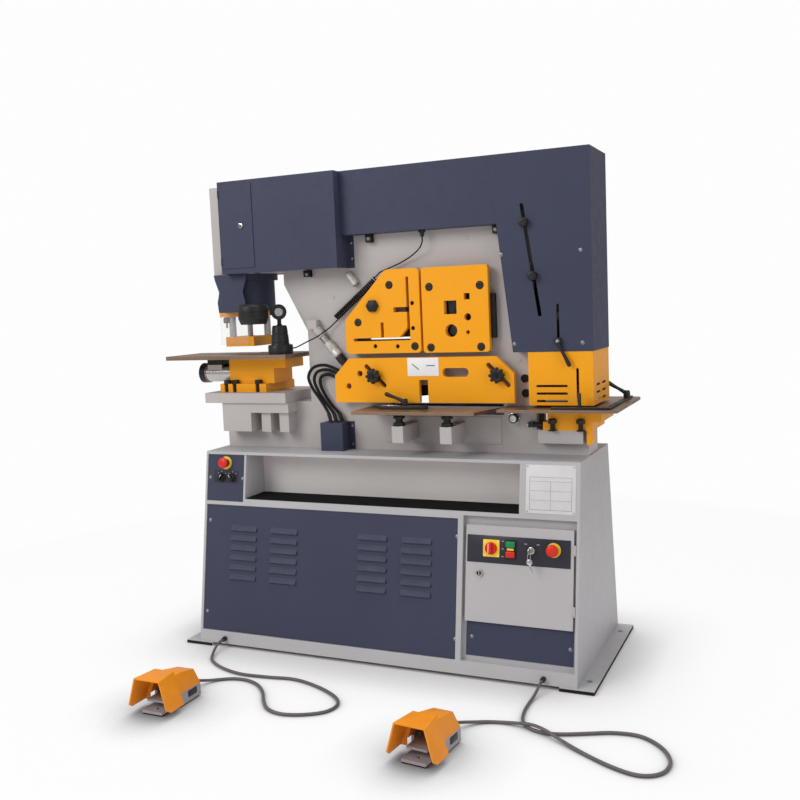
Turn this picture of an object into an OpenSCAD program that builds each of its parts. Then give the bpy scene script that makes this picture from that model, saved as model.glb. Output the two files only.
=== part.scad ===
// Hydraulic ironworker: base cabinet, frame, punch, shears, notcher, work lamp and foot pedals.
// Millimetres. +X runs to the right seen from the front, +Y to the back, +Z up, the floor is Z = 0.

/* [Base cabinet] */
// Length of the base cabinet
base_len = 1500; // [1400:10:1700]
// Height of the base cabinet top above the floor
base_h = 746; // [700:2:800]
// Depth of the base cabinet at its top
base_top_depth = 424; // [400:2:480]
// Depth of the base cabinet at its foot
base_bottom_depth = 664; // [600:2:740]
// Wall thickness of the base cabinet
base_wall = 6; // [4:0.5:8]
// Thickness of the foot plates
foot_t = 12; // [8:1:20]
// How far each foot plate stands out past the cabinet end
foot_out = 58; // [45:1:80]
// Depth of each foot plate
foot_depth = 680; // [660:5:760]
// Distance of the anchor holes from the cabinet end
anchor_out = 22; // [18:1:30]
// Spacing of the anchor holes from front to back
anchor_span = 510; // [440:5:600]
// Diameter of the anchor holes
anchor_d = 22; // [14:1:26]
// Depth of the slug tray behind the front edge of the top
tray_depth = 112; // [80:2:150]
// Height of the slug tray window, along the sloping front
tray_h = 171; // [140:1:190]
// Thickness of the base covers
cover_plate_t = 3; // [2:0.5:4]

/* [Frame] */
// Height of the frame and its covers above the base cabinet
frame_h = 1044; // [1000:2:1100]
// Thickness of the frame over both plates
frame_t = 128; // [116:2:150]
// Thickness of one frame plate
plate_t = 28; // [22:1:30]
// Distance of the punch axis left of the middle
punch_left = 652; // [640:1:660]
// Distance from the punch axis to the back wall of its throat
throat_depth = 305; // [295:1:320]
// Clearance between the shear beam and each frame plate
beam_gap = 1; // [0.5:0.1:2]
// Diameter of the shear beam pivot pin
pivot_d = 70; // [50:1:80]
// Radial running clearance of pins and rods
run_fit = 0.08; // [0.05:0.01:0.1]

/* [Covers] */
// Sheet thickness of the covers
cover_t = 3; // [2:0.5:4]
// Depth of the punch cover
punch_cover_depth = 330; // [310:2:370]
// Depth of the middle and tall covers
slim_cover_depth = 248; // [240:2:270]
// Width of the slanted stroke slot
stroke_slot_w = 13; // [11:0.5:16]
// Diameter of the stroke knobs
stroke_knob_d = 33; // [26:1:40]

/* [Punch] */
// Diameter of the punch cylinder bore
punch_bore = 140; // [126:1:150]
// Diameter of the ram
ram_d = 110; // [90:1:114]
// Diameter of the punch tip
punch_d = 22; // [14:0.5:26]
// Radial clearance of the punch in its die
die_clear = 0.6; // [0.3:0.1:1]
// Stroke of the ram
ram_stroke = 60; // [40:1:66]
// Height of the punch table top above the base cabinet
punch_table_up = 375; // [371:1:379]
// Thickness of the punch table
punch_table_t = 16; // [12:1:20]
// Length of the punch table
punch_table_len = 560; // [540:5:640]

/* [Shears] */
// Thickness of the angle and bar plates
shear_plate_t = 25; // [20:1:28]
// Gap between the frame and the angle and bar plates
shear_plate_gap = 21; // [18:1:26]
// Width of the angle slot
angle_slot_w = 11; // [8:0.5:14]
// Side of the square bar hole
square_bar = 48; // [36:1:54]
// Diameter of the round bar hole
round_bar_d = 46; // [36:1:52]
// Thickness of the flat-shear plate
flat_plate_t = 20; // [16:1:24]
// Diameter of the star knob studs
stud_d = 16; // [12:1:18]
// Clearance of each stud in its slot
stud_slot_clear = 0.5; // [0.3:0.1:1.5]
// Diameter of the star knobs
star_knob_d = 58; // [48:1:64]
// Height of the shear table top above the base cabinet
shear_table_up = 167; // [161:1:170]
// Thickness of the shear table
shear_table_t = 12; // [10:1:16]
// Depth of the shear table
shear_table_depth = 176; // [160:2:220]

/* [Notcher] */
// Height of the notcher table top above the base cabinet
notch_table_up = 172; // [168:1:175]
// Thickness of the notcher table
notch_table_t = 10; // [8:1:14]
// Width of the notcher punch
notch_w = 85; // [60:1:90]
// Depth of the notcher punch from front to back
notch_d = 60; // [40:1:62]
// Clearance of the notcher punch in its die
notch_clear = 1.5; // [0.8:0.1:2]

/* [Electric door] */
// Width of the electric door
door_w = 380; // [350:1:384]
// Height of the electric door, along the sloping front
door_h = 332; // [300:1:340]
// Depth of the folded edge of the electric door
door_fold = 18; // [12:1:20]
// Side of the main switch plate
main_plate = 58; // [46:1:64]
// Diameter of the emergency stop heads
estop_d = 42; // [34:1:46]
// Travel of the push buttons
button_travel = 4; // [2:0.5:5]

/* [Lamp and pedals] */
// Diameter of the lamp base ring
lamp_ring_d = 96; // [86:1:100]
// Diameter of the lamp head
lamp_head_d = 116; // [96:1:120]
// Distance from the lamp knuckle to the head axis
lamp_reach = 97; // [95:1:110]
// Length of a pedal sole
pedal_len = 190; // [170:1:220]
// Width of a pedal hood at its lower edge
hood_w = 160; // [148:1:178]
// Height of a pedal hood
hood_h = 125; // [116:1:138]
// Wall thickness of a pedal hood
hood_wall = 4; // [3:0.5:5]
// Diameter of the pedal cables
cable_d = 10; // [8:0.5:11]

/* [Hidden] */
$fn = 48;
eps = 0.5;

// Colours
c_grey = [0.70, 0.68, 0.67];
c_blue = [0.25, 0.28, 0.36];
c_yellow = [0.94, 0.63, 0.11];
c_orange = [0.92, 0.55, 0.14];
c_steel = [0.62, 0.60, 0.58];
c_black = [0.10, 0.10, 0.11];
c_red = [0.75, 0.10, 0.08];
c_green = [0.10, 0.50, 0.22];
c_clear = [0.80, 0.84, 0.86];

// Slope of the cabinet front
face_rise = base_h - foot_t;
face_run = (base_bottom_depth - base_top_depth) / 2;
face_len = sqrt(face_rise * face_rise + face_run * face_run);
lean = atan(face_run / face_rise);

// Layout of the cabinet front, x along the length and s up the slope
end_rim = 10;
top_rim = 11;
mid_rail = 26;
low_rail = 47;
pillar = 20;
control_w = 169;
win_top = face_len - top_rim;
tray_s0 = win_top - tray_h;
tray_x0 = -base_len / 2 + end_rim + control_w + pillar - 13;
tray_x1 = base_len / 2 - 210;
control_x0 = -base_len / 2 + end_rim - 2;
control_x1 = control_x0 + control_w;
control_s0 = tray_s0 - 12;
louvre_x0 = -base_len / 2 + end_rim;
low_s1 = tray_s0 - mid_rail;
recess_x1 = base_len / 2 - end_rim;
recess_x0 = recess_x1 - 401;
louvre_x1 = recess_x0 - pillar;
ledge = 14;
ledge_t = 4;
fit_gap = 2;

// Electric door
door_front = -2;
door_x1 = recess_x1 - 9;
door_x0 = door_x1 - door_w;
door_s1 = low_s1 + 12 - 30;
door_s0 = door_s1 - door_h;
recess_s1 = low_s1 + 12;
door_axis_x = recess_x1 - 4.5;
door_axis_n = 0;
door_back = door_front - door_fold;
recess_back = door_back - 0.5;
door_hinge_s = [door_s0 + 50, door_s1 - 80];
door_hinge_len = 30;
panel_s0 = door_s1 - 128;
panel_s1 = door_s1 - 34;
panel_t = 1.5;
panel_front = door_front + panel_t;
main_x = door_x0 + 93;
main_s = panel_s0 + 51;
start_x = door_x0 + 162;
start_s = panel_s0 + 68;
stop_s = panel_s0 + 34;
key_x = door_x0 + 236;
key_s = panel_s0 + 52;
estop_x = door_x0 + 312;
estop_s = panel_s0 + 58;
control_estop_x = control_x0 + 84;
control_estop_s = control_s0 + 150;
selector_x = [control_x0 + 65, control_x0 + 114];
selector_s = control_s0 + 93;
control_front = -base_wall + cover_plate_t;
stem_r = 7;
stem_fit = 0.3;

// Heights above the floor
top_z = base_h + frame_h;
frame_top = top_z - cover_t;
arm_top = base_h + 184;
throat_z1 = base_h + 459;
neck_z = base_h + 641;
head_z = base_h + 691;
mid_z = base_h + 810;
tall_z = base_h + 365;
low_top = base_h + 90;
punch_z = base_h + punch_table_up;
shear_z = base_h + shear_table_up;
notch_z = base_h + notch_table_up;

// Places along the length
ff = -frame_t / 2;
gap_half = frame_t / 2 - plate_t;
weld_gap = 0.2;
punch_x = -punch_left;
throat_x = punch_x + throat_depth;
arm_x0 = -base_len / 2 + 8;
neck_x = throat_x - 96;
block_half = 90;
head_x0 = punch_x + block_half;
frame_x1 = 560;
notch_seat_len = 185;
low_x1 = frame_x1 + notch_seat_len;

// Punch station
block_top = frame_top - 7;
block_deep = 100;
flange_r = 122;
nose_r = 108;
nose_z0 = head_z - 147;
flange_t = 25;
nut_r = 45;
nut_h = 28;
nut_z0 = nose_z0 - nut_h;
holder_r = 19;
punch_tip_z = punch_z - 6 + ram_stroke;
piston_h = 80;
piston_z0 = block_top - 140;
bore_top = block_top - 30;
die_r = 40;
die_h = 46;
strip_z1 = nut_z0 - ram_stroke - 12;
strip_t = 38;
strip_front = 80;
bracket_t = 20;
post_r = 14;
table_z0 = punch_z - punch_table_t;
bolster_x0 = punch_x - 56;
bolster_x1 = punch_x + 206;
bolster_y0 = -82;
bolster_y1 = 58;
support_t = 40;
support_top = arm_top + support_t;
bolster_base_z1 = support_top + 33;
flange_z0 = table_z0 - 42;
bar_z = bolster_base_z1 + 39;
bar_r = 37;

// Covers
pcover_x0 = punch_x - 8;
pcover_x1 = -152;
pc_half = punch_cover_depth / 2;
sc_half = slim_cover_depth / 2;
tall_x1 = 780;
tall_top_x = 427;
tall_lean = 72 / 679;
function tall_edge(z) = tall_top_x + (top_z - z) * tall_lean;
pdoor_x0 = pcover_x0 + 9;
pdoor_x1 = pdoor_x0 + 144;
pdoor_z0 = head_z + 21;
pdoor_z1 = top_z - 12;
pdoor_t = 2.5;
pdoor_gap = 0.5;
pdoor_axis_x = pdoor_x0 - 4;
pdoor_axis_y = -pc_half - 3.5;
pdoor_hinge_z = [pdoor_z0 + 18, pdoor_z1 - 44];
hinge_tube = 22;
slot_top = [544, base_h + 866];
slot_low = [598, base_h + 493];
slot_len = norm(slot_low - slot_top);
slot_turn = atan2(slot_low[1] - slot_top[1], slot_low[0] - slot_top[0]);
slot_dir = (slot_low - slot_top) / slot_len;
knob_upper_at = slot_top + slot_dir * 60;
knob_lower_at = slot_top + slot_dir * 244;
stop_x = 661;
stop_z0 = tall_z + 36;
stop_z1 = stop_z0 + 122;
stop_slot_w = 9;

// Shear beam
pivot_x = -270;
pivot_z = base_h + 419;
beam_half = gap_half - beam_gap;
blade_t = 27;
shear_angle = 6;
flat_x0 = 0;
flat_x1 = 430;
flat_blade_h = 45;
low_blade_h = 28;
low_blade_top = shear_z - 1;
function drop(x) = (x - pivot_x) * sin(shear_angle);
function flat_edge(x) = low_blade_top - 3 + drop(x);
rod_x = 650;
rod_pin_z = base_h + 484;
rod_pin_r = 18;
rod_r = 35;
tongue_half = 14;
cyl_r = 75;
cyl_z0 = base_h + 584;
cyl_z1 = base_h + 954;
notch_x0 = 650;
notch_bottom = base_h + 242;

// Angle and bar plates
sp_back = ff - shear_plate_gap;
sp_front = sp_back - shear_plate_t;
ang_x0 = -158;
ang_x1 = 148;
ang_z0 = base_h + 369;
ang_z1 = base_h + 676;
ang_slot_x = 101;
ang_slot_z = base_h + 421;
ang_slot_left = -126;
ang_slot_top = base_h + 646;
bar_x0 = 157;
bar_x1 = 410;
square_at = [266, base_h + 529];
small_square_at = [330, base_h + 566];
small_square = 22;
round_at = [267, base_h + 446];
mid_round_at = [331, base_h + 493];
mid_round_d = 26;
small_round_at = [330, base_h + 439];
small_round_d = 14;
bolt_r = 8;
bolt_fit = 0.2;
head_r = 13;
head_h = 12;
cbore_r = 15;
plate_bolts = [[29, base_h + 619], [-105, base_h + 486], [123, base_h + 393], [187, base_h + 605],
  [380, base_h + 603], [186, base_h + 387], [378, base_h + 386]];
bolt_deep = 20;

// Flat-shear plate
fp_gap = 31;
fp_back = ff - fp_gap;
fp_front = fp_back - flat_plate_t;
flat_z0 = shear_z + 19;
flat_z1 = flat_z0 + 166;
stud_z = base_h + 286;
studs = [[-40, stud_z], [440, stud_z]];
stud_slot_len = 100;
stud_end = fp_front - 36;
star_t = 32;

// Notcher
guard_x0 = 552;
guard_x1 = tall_x1 - 2;
guard_z0 = notch_z + 8;
guard_half = sc_half - 1;
ntable_x0 = 455;
ntable_x1 = 868;
ntable_y0 = -195;
ntable_y1 = 250;
ntable_z0 = notch_z - notch_table_t;
die_x0 = 608;
die_x1 = 796;
die_half = 100;
nbol_z1 = low_top + 30;
notch_shift = 28;
notch_hole_x0 = notch_x0 - notch_shift;
notch_hole_x1 = notch_x0 + notch_w + 6;
notch_hole_half = notch_d / 2 + notch_clear;

// Hose box
hose_x0 = -277;
hose_x1 = -182;
hose_y0 = -130;
hose_z1 = base_h + 108;

// Lamp
lamp_x = punch_x + 215;
lamp_y = -125;
lamp_turn = 31.3;
lamp_ring_h = 36;
lamp_body_z1 = punch_z + 110;
knuckle_z = punch_z + 162;
knuckle_r = 30;
lamp_cord_r = 2.5;
curl_r = 13;

// Pedals
pedal_l = [-500, -845];
pedal_r = [447, -873];
pedal_r_turn = -6;
pedal_half = pedal_len / 2;
sole_t = 5;
pedal_plate_t = 9;
cheek_in = 44;
cheek_out = 55;
cheek_top = 46;
treadle_y = 24;
treadle_z = 34;
treadle_pin_r = 4;
hood_foot = 22;
gland_len = 22;
gland_r = 9;
cable_r = cable_d / 2;
pedal_gland_z = 30;
base_gland_x = [-633, 636];
base_gland_s = 20;

// Route of the left pedal cable, from the base gland to the pedal
floor_z = cable_r + 0.2;
gland_y = -base_bottom_depth / 2 + base_gland_s * sin(lean);
base_gland_z = foot_t + base_gland_s * cos(lean);
cord_gap = 0.2;
left_start = gland_y - gland_len - cord_gap;
left_end = pedal_l[1] + pedal_half + gland_len + cord_gap;
left_route = [[base_gland_x[0], left_start, base_gland_z], [base_gland_x[0], left_start - 10, base_gland_z],
  [base_gland_x[0], left_start - 20, base_gland_z],
  [-631, -412, 13], [-592, -478, floor_z], [-519, -526, floor_z], [-417, -557, floor_z],
  [-305, -552, floor_z], [-200, -540, floor_z], [-93, -570, floor_z], [0, -622, floor_z],
  [42, -676, floor_z], [34, -735, floor_z], [-20, -778, floor_z], [-94, -800, floor_z],
  [-158, -782, floor_z], [-206, -732, floor_z], [-248, -672, floor_z], [-298, -624, floor_z],
  [-355, -600, floor_z], [-410, -604, floor_z], [-456, -630, floor_z], [-488, -668, 12],
  [pedal_l[0], left_end + 20, pedal_gland_z], [pedal_l[0], left_end + 10, pedal_gland_z],
  [pedal_l[0], left_end, pedal_gland_z]];
// Route of the right pedal cable, crossing over itself once
pr_end = pedal_half + gland_len + cord_gap;
function pr_at(d) = [pedal_r[0] - (pr_end + d) * sin(pedal_r_turn),
  pedal_r[1] + (pr_end + d) * cos(pedal_r_turn), pedal_gland_z];
right_route = [[base_gland_x[1], left_start, base_gland_z], [base_gland_x[1], left_start - 10, base_gland_z],
  [base_gland_x[1], left_start - 20, base_gland_z],
  [631, -412, 13], [627, -470, floor_z], [630, -530, floor_z], [642, -590, floor_z],
  [668, -632, floor_z], [704, -653, floor_z], [750, -656, floor_z], [800, -642, floor_z],
  [860, -616, floor_z], [925, -590, floor_z], [1001, -588, floor_z], [1066, -636, floor_z],
  [1102, -704, floor_z], [1102, -766, floor_z], [1076, -806, floor_z], [1027, -820, floor_z],
  [955, -796, floor_z], [871, -748, floor_z], [795, -700, 9], [735, -664, 16.4], [685, -641, 16.4],
  [635, -630, 9], [590, -632, floor_z], [545, -646, floor_z], [505, -676, 9],
  pr_at(22), pr_at(11), pr_at(0)];
// Route of the lamp cord before and after its curl
curl_a = [-215, -80, base_h + 504];
curl_b = [-38, -80, base_h + 644];
curl_dir = (curl_b - curl_a) / norm(curl_b - curl_a);
lamp_exit = [lamp_x + lamp_ring_d / 2 + 0.4, lamp_y, punch_z + 22];
lamp_route_a = [lamp_exit, lamp_exit + [16, 0, 0], [-330, -112, base_h + 421], [-285, -100, base_h + 447],
  curl_a - 24 * curl_dir, curl_a];
lamp_gland = [164, -100, mid_z - 26];
lamp_route_b = [curl_b, curl_b + 24 * curl_dir, [14, -76, base_h + 674], [60, -76, base_h + 694],
  [118, -88, base_h + 736], lamp_gland - [0, 0, 18], lamp_gland];
// Routes of the three hoses
hose_r = 6;
hose_end = hose_z1 + 6;
manifold_x = -178 - cord_gap;
hose_routes = [
  [[manifold_x, -80, base_h + 300], [-189, -80, base_h + 300], [-200, -80, base_h + 300],
     [-258, -92, base_h + 326], [-305, -106,
    base_h + 320],
  [-327, -112, base_h + 286], [-314, -112, base_h + 244], [-275, -112, base_h + 189], [-246, -112,
    base_h + 142],
  [-240, -112, hose_end]],
  [[manifold_x, -80, base_h + 284], [-189, -80, base_h + 284], [-200, -80, base_h + 284],
     [-254, -86, base_h + 308], [-296, -94, base_h + 302],
  [-311, -97, base_h + 272], [-298, -97, base_h + 232], [-262, -97, base_h + 180], [-232, -97, base_h + 140],
  [-224, -97, hose_end]],
  [[manifold_x, -80, base_h + 268], [-189, -80, base_h + 268], [-200, -80, base_h + 268],
     [-250, -81, base_h + 289], [-284, -82, base_h + 284],
  [-294, -82, base_h + 258], [-280, -82, base_h + 220], [-248, -82, base_h + 172], [-216, -82, base_h + 138],
  [-207, -82, hose_end]]];

// A box from one corner to the other
module box(a, b) {
  translate(a) cube(b - a);
}

// A plate drawn in X and Z, standing from y0 to y1
module xz_plate(y0, y1) {
  translate([0, y1, 0]) rotate([90, 0, 0]) linear_extrude(y1 - y0) children();
}

// A round bar along Y
module ycyl(p, y0, y1, r) {
  translate([p[0], y1, p[1]]) rotate([90, 0, 0]) cylinder(r = r, h = y1 - y0);
}

// A round bar between two points
module rod(a, b, r) {
  d = b - a;
  translate(a) rotate([0, acos(d[2] / norm(d)), atan2(d[1], d[0])]) cylinder(r = r, h = norm(d));
}

// A flat slot with round ends, centre to centre length l
module slot2d(l, w) {
  square([l, w], center = true);
  for (side = [-1, 1]) translate([side * l / 2, 0]) circle(d = w);
}

// A rectangle between two corners
module rect2d(x0, y0, x1, y1) {
  translate([x0, y0]) square([x1 - x0, y1 - y0]);
}

// A rectangle with rounded corners
module round_rect2d(x0, y0, x1, y1, r) {
  rect2d(x0 + r, y0, x1 - r, y1);
  rect2d(x0, y0 + r, x1, y1 - r);
  for (x = [x0 + r, x1 - r]) for (y = [y0 + r, y1 - r]) translate([x, y]) circle(r = r);
}

// Local axes of the sloping front: x along the length, y up the slope, z out of the face
module on_face() {
  translate([0, -base_bottom_depth / 2, foot_t]) rotate([90 - lean, 0, 0]) children();
}

// The same on the sloping back
module on_back() {
  mirror([0, 1, 0]) on_face() children();
}

// A slab on the face from n0 to n1
module face_slab(n0, n1) {
  translate([0, 0, n0]) linear_extrude(n1 - n0) children();
}

// Swept tube: smooth route through the given points
function cr(a, b, c, d, t) = 0.5 * (2 * b + (c - a) * t + (2 * a - 5 * b + 4 * c - d) * t * t
  + (3 * b - a - 3 * c + d) * t * t * t);
function smooth(p, k) = let (n = len(p) - 1) concat([for (i = [0 : n - 1]) for (j = [0 : k - 1])
  cr(p[max(i - 1, 0)], p[i], p[i + 1], p[min(i + 2, n)], j / k)], [p[n]]);
function unit(v) = v / norm(v);
function heading(p, i) = unit(p[min(i + 1, len(p) - 1)] - p[max(i - 1, 0)]);
function ring(p, i, r, n, ref) = let (t = heading(p, i), s = unit(cross(ref, t)), u = cross(t, s))
  [for (k = [0 : n - 1]) p[i] + r * (cos(360 * k / n) * s + sin(360 * k / n) * u)];
function tube_points(p, r, n, ref) = [for (i = [0 : len(p) - 1]) for (q = ring(p, i, r, n, ref)) q];
function tube_sides(m, n) = [for (i = [0 : m - 2]) for (k = [0 : n - 1]) for (h = [0, 1])
  let (a = i * n + k, b = i * n + (k + 1) % n) h == 0 ? [a, b + n, b] : [a, a + n, b + n]];
function tube_caps(m, n) = [[for (k = [0 : n - 1]) k], [for (k = [n - 1 : -1 : 0]) (m - 1) * n + k]];
module tube(route, steps, r, n, ref) {
  p = smooth(route, steps);
  polyhedron(points = tube_points(p, r, n, ref), faces = concat(tube_sides(len(p), n), tube_caps(len(p), n)));
}

// Outline of the cabinet, drawn in by d on every side
function half_depth(z) = base_bottom_depth / 2 - (z - foot_t) * tan(lean);
module base_prism(d) {
  z0 = foot_t + d;
  z1 = base_h - d;
  y0 = half_depth(z0) - d / cos(lean);
  y1 = half_depth(z1) - d / cos(lean);
  translate([-base_len / 2 + d, 0, 0]) rotate([90, 0, 90]) linear_extrude(base_len - 2 * d)
    polygon([[-y0, z0], [y0, z0], [y1, z1], [-y1, z1]]);
}

// Ledge ring behind a front window
module ledge_ring(x0, s0, x1, s1) {
  face_slab(-base_wall - ledge_t, -base_wall + eps) difference() {
    rect2d(x0 - 4, s0 - 4, x1 + 4, s1 + 4);
    rect2d(x0 + ledge, s0 + ledge, x1 - ledge, s1 - ledge);
  }
}

rear_x = base_len / 2 - 190;
rear_s0 = 90;
rear_s1 = 520;
tray_z0 = foot_t + tray_s0 * cos(lean);
tray_z1 = foot_t + win_top * cos(lean);
tray_y = -base_top_depth / 2 + tray_depth;
tray_t = 4;
ebox_x0 = door_x0 + 8;
ebox_x1 = door_x1 - 8;
ebox_s0 = door_s0 + 8;
ebox_s1 = door_s1 - 8;
ebox_deep = 150;
ebox_t = 3;
ebox_n = recess_back - 4;
low_cover_s1 = door_s0 - 2;
low_cover_s0 = low_rail + 19;

// Welded base cabinet with foot plates, slug tray and inner electric box
module base_cabinet() {
  foot_in = 60;
  color(c_grey) {
    difference() {
      union() {
        difference() {
          base_prism(0);
          base_prism(base_wall);
        }
        on_face() {
          ledge_ring(control_x0, control_s0, control_x1, win_top);
          ledge_ring(louvre_x0, low_rail, louvre_x1, low_s1);
          face_slab(recess_back - 4, -base_wall + eps) difference() {
            rect2d(recess_x0 - 4, low_rail - 4, recess_x1 + 4, recess_s1 + 4);
            rect2d(recess_x0, low_rail, recess_x1, recess_s1);
          }
          face_slab(recess_back - 4, recess_back) difference() {
            rect2d(recess_x0 - 4, low_rail - 4, recess_x1 + 4, recess_s1 + 4);
            rect2d(ebox_x0, ebox_s0, ebox_x1, ebox_s1);
            rect2d(recess_x0 + ledge + 8, low_cover_s0 + ledge, door_x1 - ledge, low_cover_s1 - ledge);
          }
          difference() {
            face_slab(ebox_n - ebox_deep, ebox_n + eps)
              rect2d(ebox_x0 - ebox_t, ebox_s0 - ebox_t, ebox_x1 + ebox_t, ebox_s1 + ebox_t);
            face_slab(ebox_n - ebox_deep + ebox_t, ebox_n + 2 * eps)
              rect2d(ebox_x0, ebox_s0, ebox_x1, ebox_s1);
          }
        }
        on_back() ledge_ring(-rear_x, rear_s0, rear_x, rear_s1);
        intersection() {
          base_prism(base_wall / 2);
          difference() {
            box([tray_x0 - tray_t, -base_bottom_depth, tray_z0 - tray_t], [tray_x1 + tray_t, tray_y + tray_t,
              tray_z1 + tray_t]);
            box([tray_x0, -base_bottom_depth - 1, tray_z0], [tray_x1, tray_y, tray_z1]);
          }
        }
      }
      on_face() face_slab(-base_wall - eps, eps) {
        rect2d(control_x0, control_s0, control_x1, win_top);
        rect2d(louvre_x0, low_rail, louvre_x1, low_s1);
        rect2d(recess_x0, low_rail, recess_x1, recess_s1);
      }
      intersection() {
        box([tray_x0, -base_bottom_depth, tray_z0], [tray_x1, -base_top_depth / 2 + 20, tray_z1]);
        box([tray_x0, -base_bottom_depth, tray_z0], [tray_x1, tray_y, base_h - base_wall]);
      }
      on_back() face_slab(-base_wall - eps, eps) rect2d(-rear_x, rear_s0, rear_x, rear_s1);
    }
    for (side = [-1, 1]) difference() {
      box([side > 0 ? base_len / 2 - foot_in : -base_len / 2 - foot_out, -foot_depth / 2, 0],
        [side > 0 ? base_len / 2 + foot_out : -base_len / 2 + foot_in, foot_depth / 2, foot_t]);
      for (y = [-1, 1]) translate([side * (base_len / 2 + anchor_out), y * anchor_span / 2, -1])
        cylinder(d = anchor_d, h = foot_t + 2);
    }
    on_face() for (s = door_hinge_s) {
      translate([door_axis_x, s - 1, door_axis_n]) rotate([-90, 0, 0])
        cylinder(r = 2, h = door_hinge_len + 1);
      translate([door_axis_x - 3, s - 4, -5]) cube([recess_x1 - door_axis_x + 3, 3.5, 8]);
    }
  }
}

// One pressed louvre, open along its lower edge
module louvre(w) {
  reach = 16;
  lift = 8;
  skin = 2;
  translate([-w / 2, 0, 0]) rotate([90, 0, 90]) linear_extrude(w)
    polygon([[reach, -eps], [reach + skin, -eps], [reach + skin, 0], [-skin, lift], [-skin, lift - skin]]);
  for (x = [-w / 2, w / 2 - skin]) translate([x, 0, 0]) rotate([90, 0, 90]) linear_extrude(skin)
    polygon([[reach + skin, -eps], [reach + skin, 0], [-skin, lift], [-skin, -eps]]);
}

louvre_w = 117;
louvre_rows = 6;
louvre_pitch = 37.5;
louvre_top = low_s1 - 95;
louvre_cols = [louvre_x0 + 174, louvre_x0 + 354, louvre_x1 - 332, louvre_x1 - 157];

// Louvred cover, lower cover, control plate and rear cover of the base cabinet
module base_covers() {
  color(c_blue) {
    on_face() {
      translate([0, 0, -base_wall]) difference() {
        linear_extrude(cover_plate_t) rect2d(louvre_x0 + fit_gap, low_rail + fit_gap, louvre_x1 - fit_gap,
          low_s1 - fit_gap);
        for (x = louvre_cols) for (i = [0 : louvre_rows - 1]) translate([x - louvre_w / 2 + 3,
          louvre_top - i * louvre_pitch, -1]) cube([louvre_w - 6, 12, cover_plate_t + 2]);
      }
      for (x = louvre_cols) for (i = [0 : louvre_rows - 1]) translate([x, louvre_top - i * louvre_pitch,
        -base_wall + cover_plate_t]) louvre(louvre_w);
      face_slab(recess_back, recess_back + cover_plate_t) rect2d(recess_x0 + 14, low_cover_s0, door_x1,
        low_cover_s1);
      difference() {
        face_slab(-base_wall, control_front) rect2d(control_x0 + fit_gap, control_s0 + fit_gap,
          control_x1 - fit_gap, win_top - fit_gap);
        translate([control_estop_x, control_estop_s, -base_wall - 1]) cylinder(r = stem_r + stem_fit, h = 10);
        for (x = selector_x) translate([x, selector_s, -base_wall - 1])
          cylinder(r = stem_r + stem_fit, h = 10);
      }
    }
    on_back() face_slab(-base_wall, -base_wall + cover_plate_t) rect2d(-rear_x + fit_gap, rear_s0 + fit_gap,
      rear_x - fit_gap, rear_s1 - fit_gap);
  }
}

ang_blade_low = ang_slot_z - 17;
ang_blade_x0 = ang_slot_left - 6;
ang_blade_x1 = ang_slot_x + 13;
bar_blade = [228, base_h + 414, 356, base_h + 586];

// Outline of the angle blade, an L with a filled corner
module angle_blade2d() {
  leg = 42;
  rect2d(ang_blade_x0, ang_blade_low, ang_blade_x1, ang_blade_low + leg);
  rect2d(ang_blade_x1 - leg, ang_blade_low, ang_blade_x1, ang_slot_top + 10);
}

// The L-shaped way for angle stock
module angle_slot2d() {
  w = angle_slot_w;
  rect2d(ang_slot_left, ang_slot_z - w / 2, ang_slot_x + w / 2, ang_slot_z + w / 2);
  rect2d(ang_slot_x - w / 2, ang_slot_z - w / 2, ang_slot_x + w / 2, ang_slot_top);
}

// The ways for square and round bars
module bar_holes2d() {
  translate(square_at) square(square_bar, center = true);
  translate(small_square_at) square(small_square, center = true);
  translate(round_at) circle(d = round_bar_d);
  translate(mid_round_at) circle(d = mid_round_d);
  translate(small_round_at) circle(d = small_round_d);
}

flat_win_z0 = low_blade_top - low_blade_h;
flat_win_z1 = flat_edge(flat_x1) + 10;

// Outline of one frame plate
module frame_outline() {
  polygon([[arm_x0, base_h], [arm_x0, arm_top], [throat_x, arm_top], [throat_x, throat_z1], [neck_x, neck_z],
    [neck_x, head_z], [head_x0, head_z], [head_x0, frame_top], [frame_x1, frame_top], [frame_x1, low_top],
    [low_x1, low_top], [low_x1, base_h]]);
}

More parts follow.
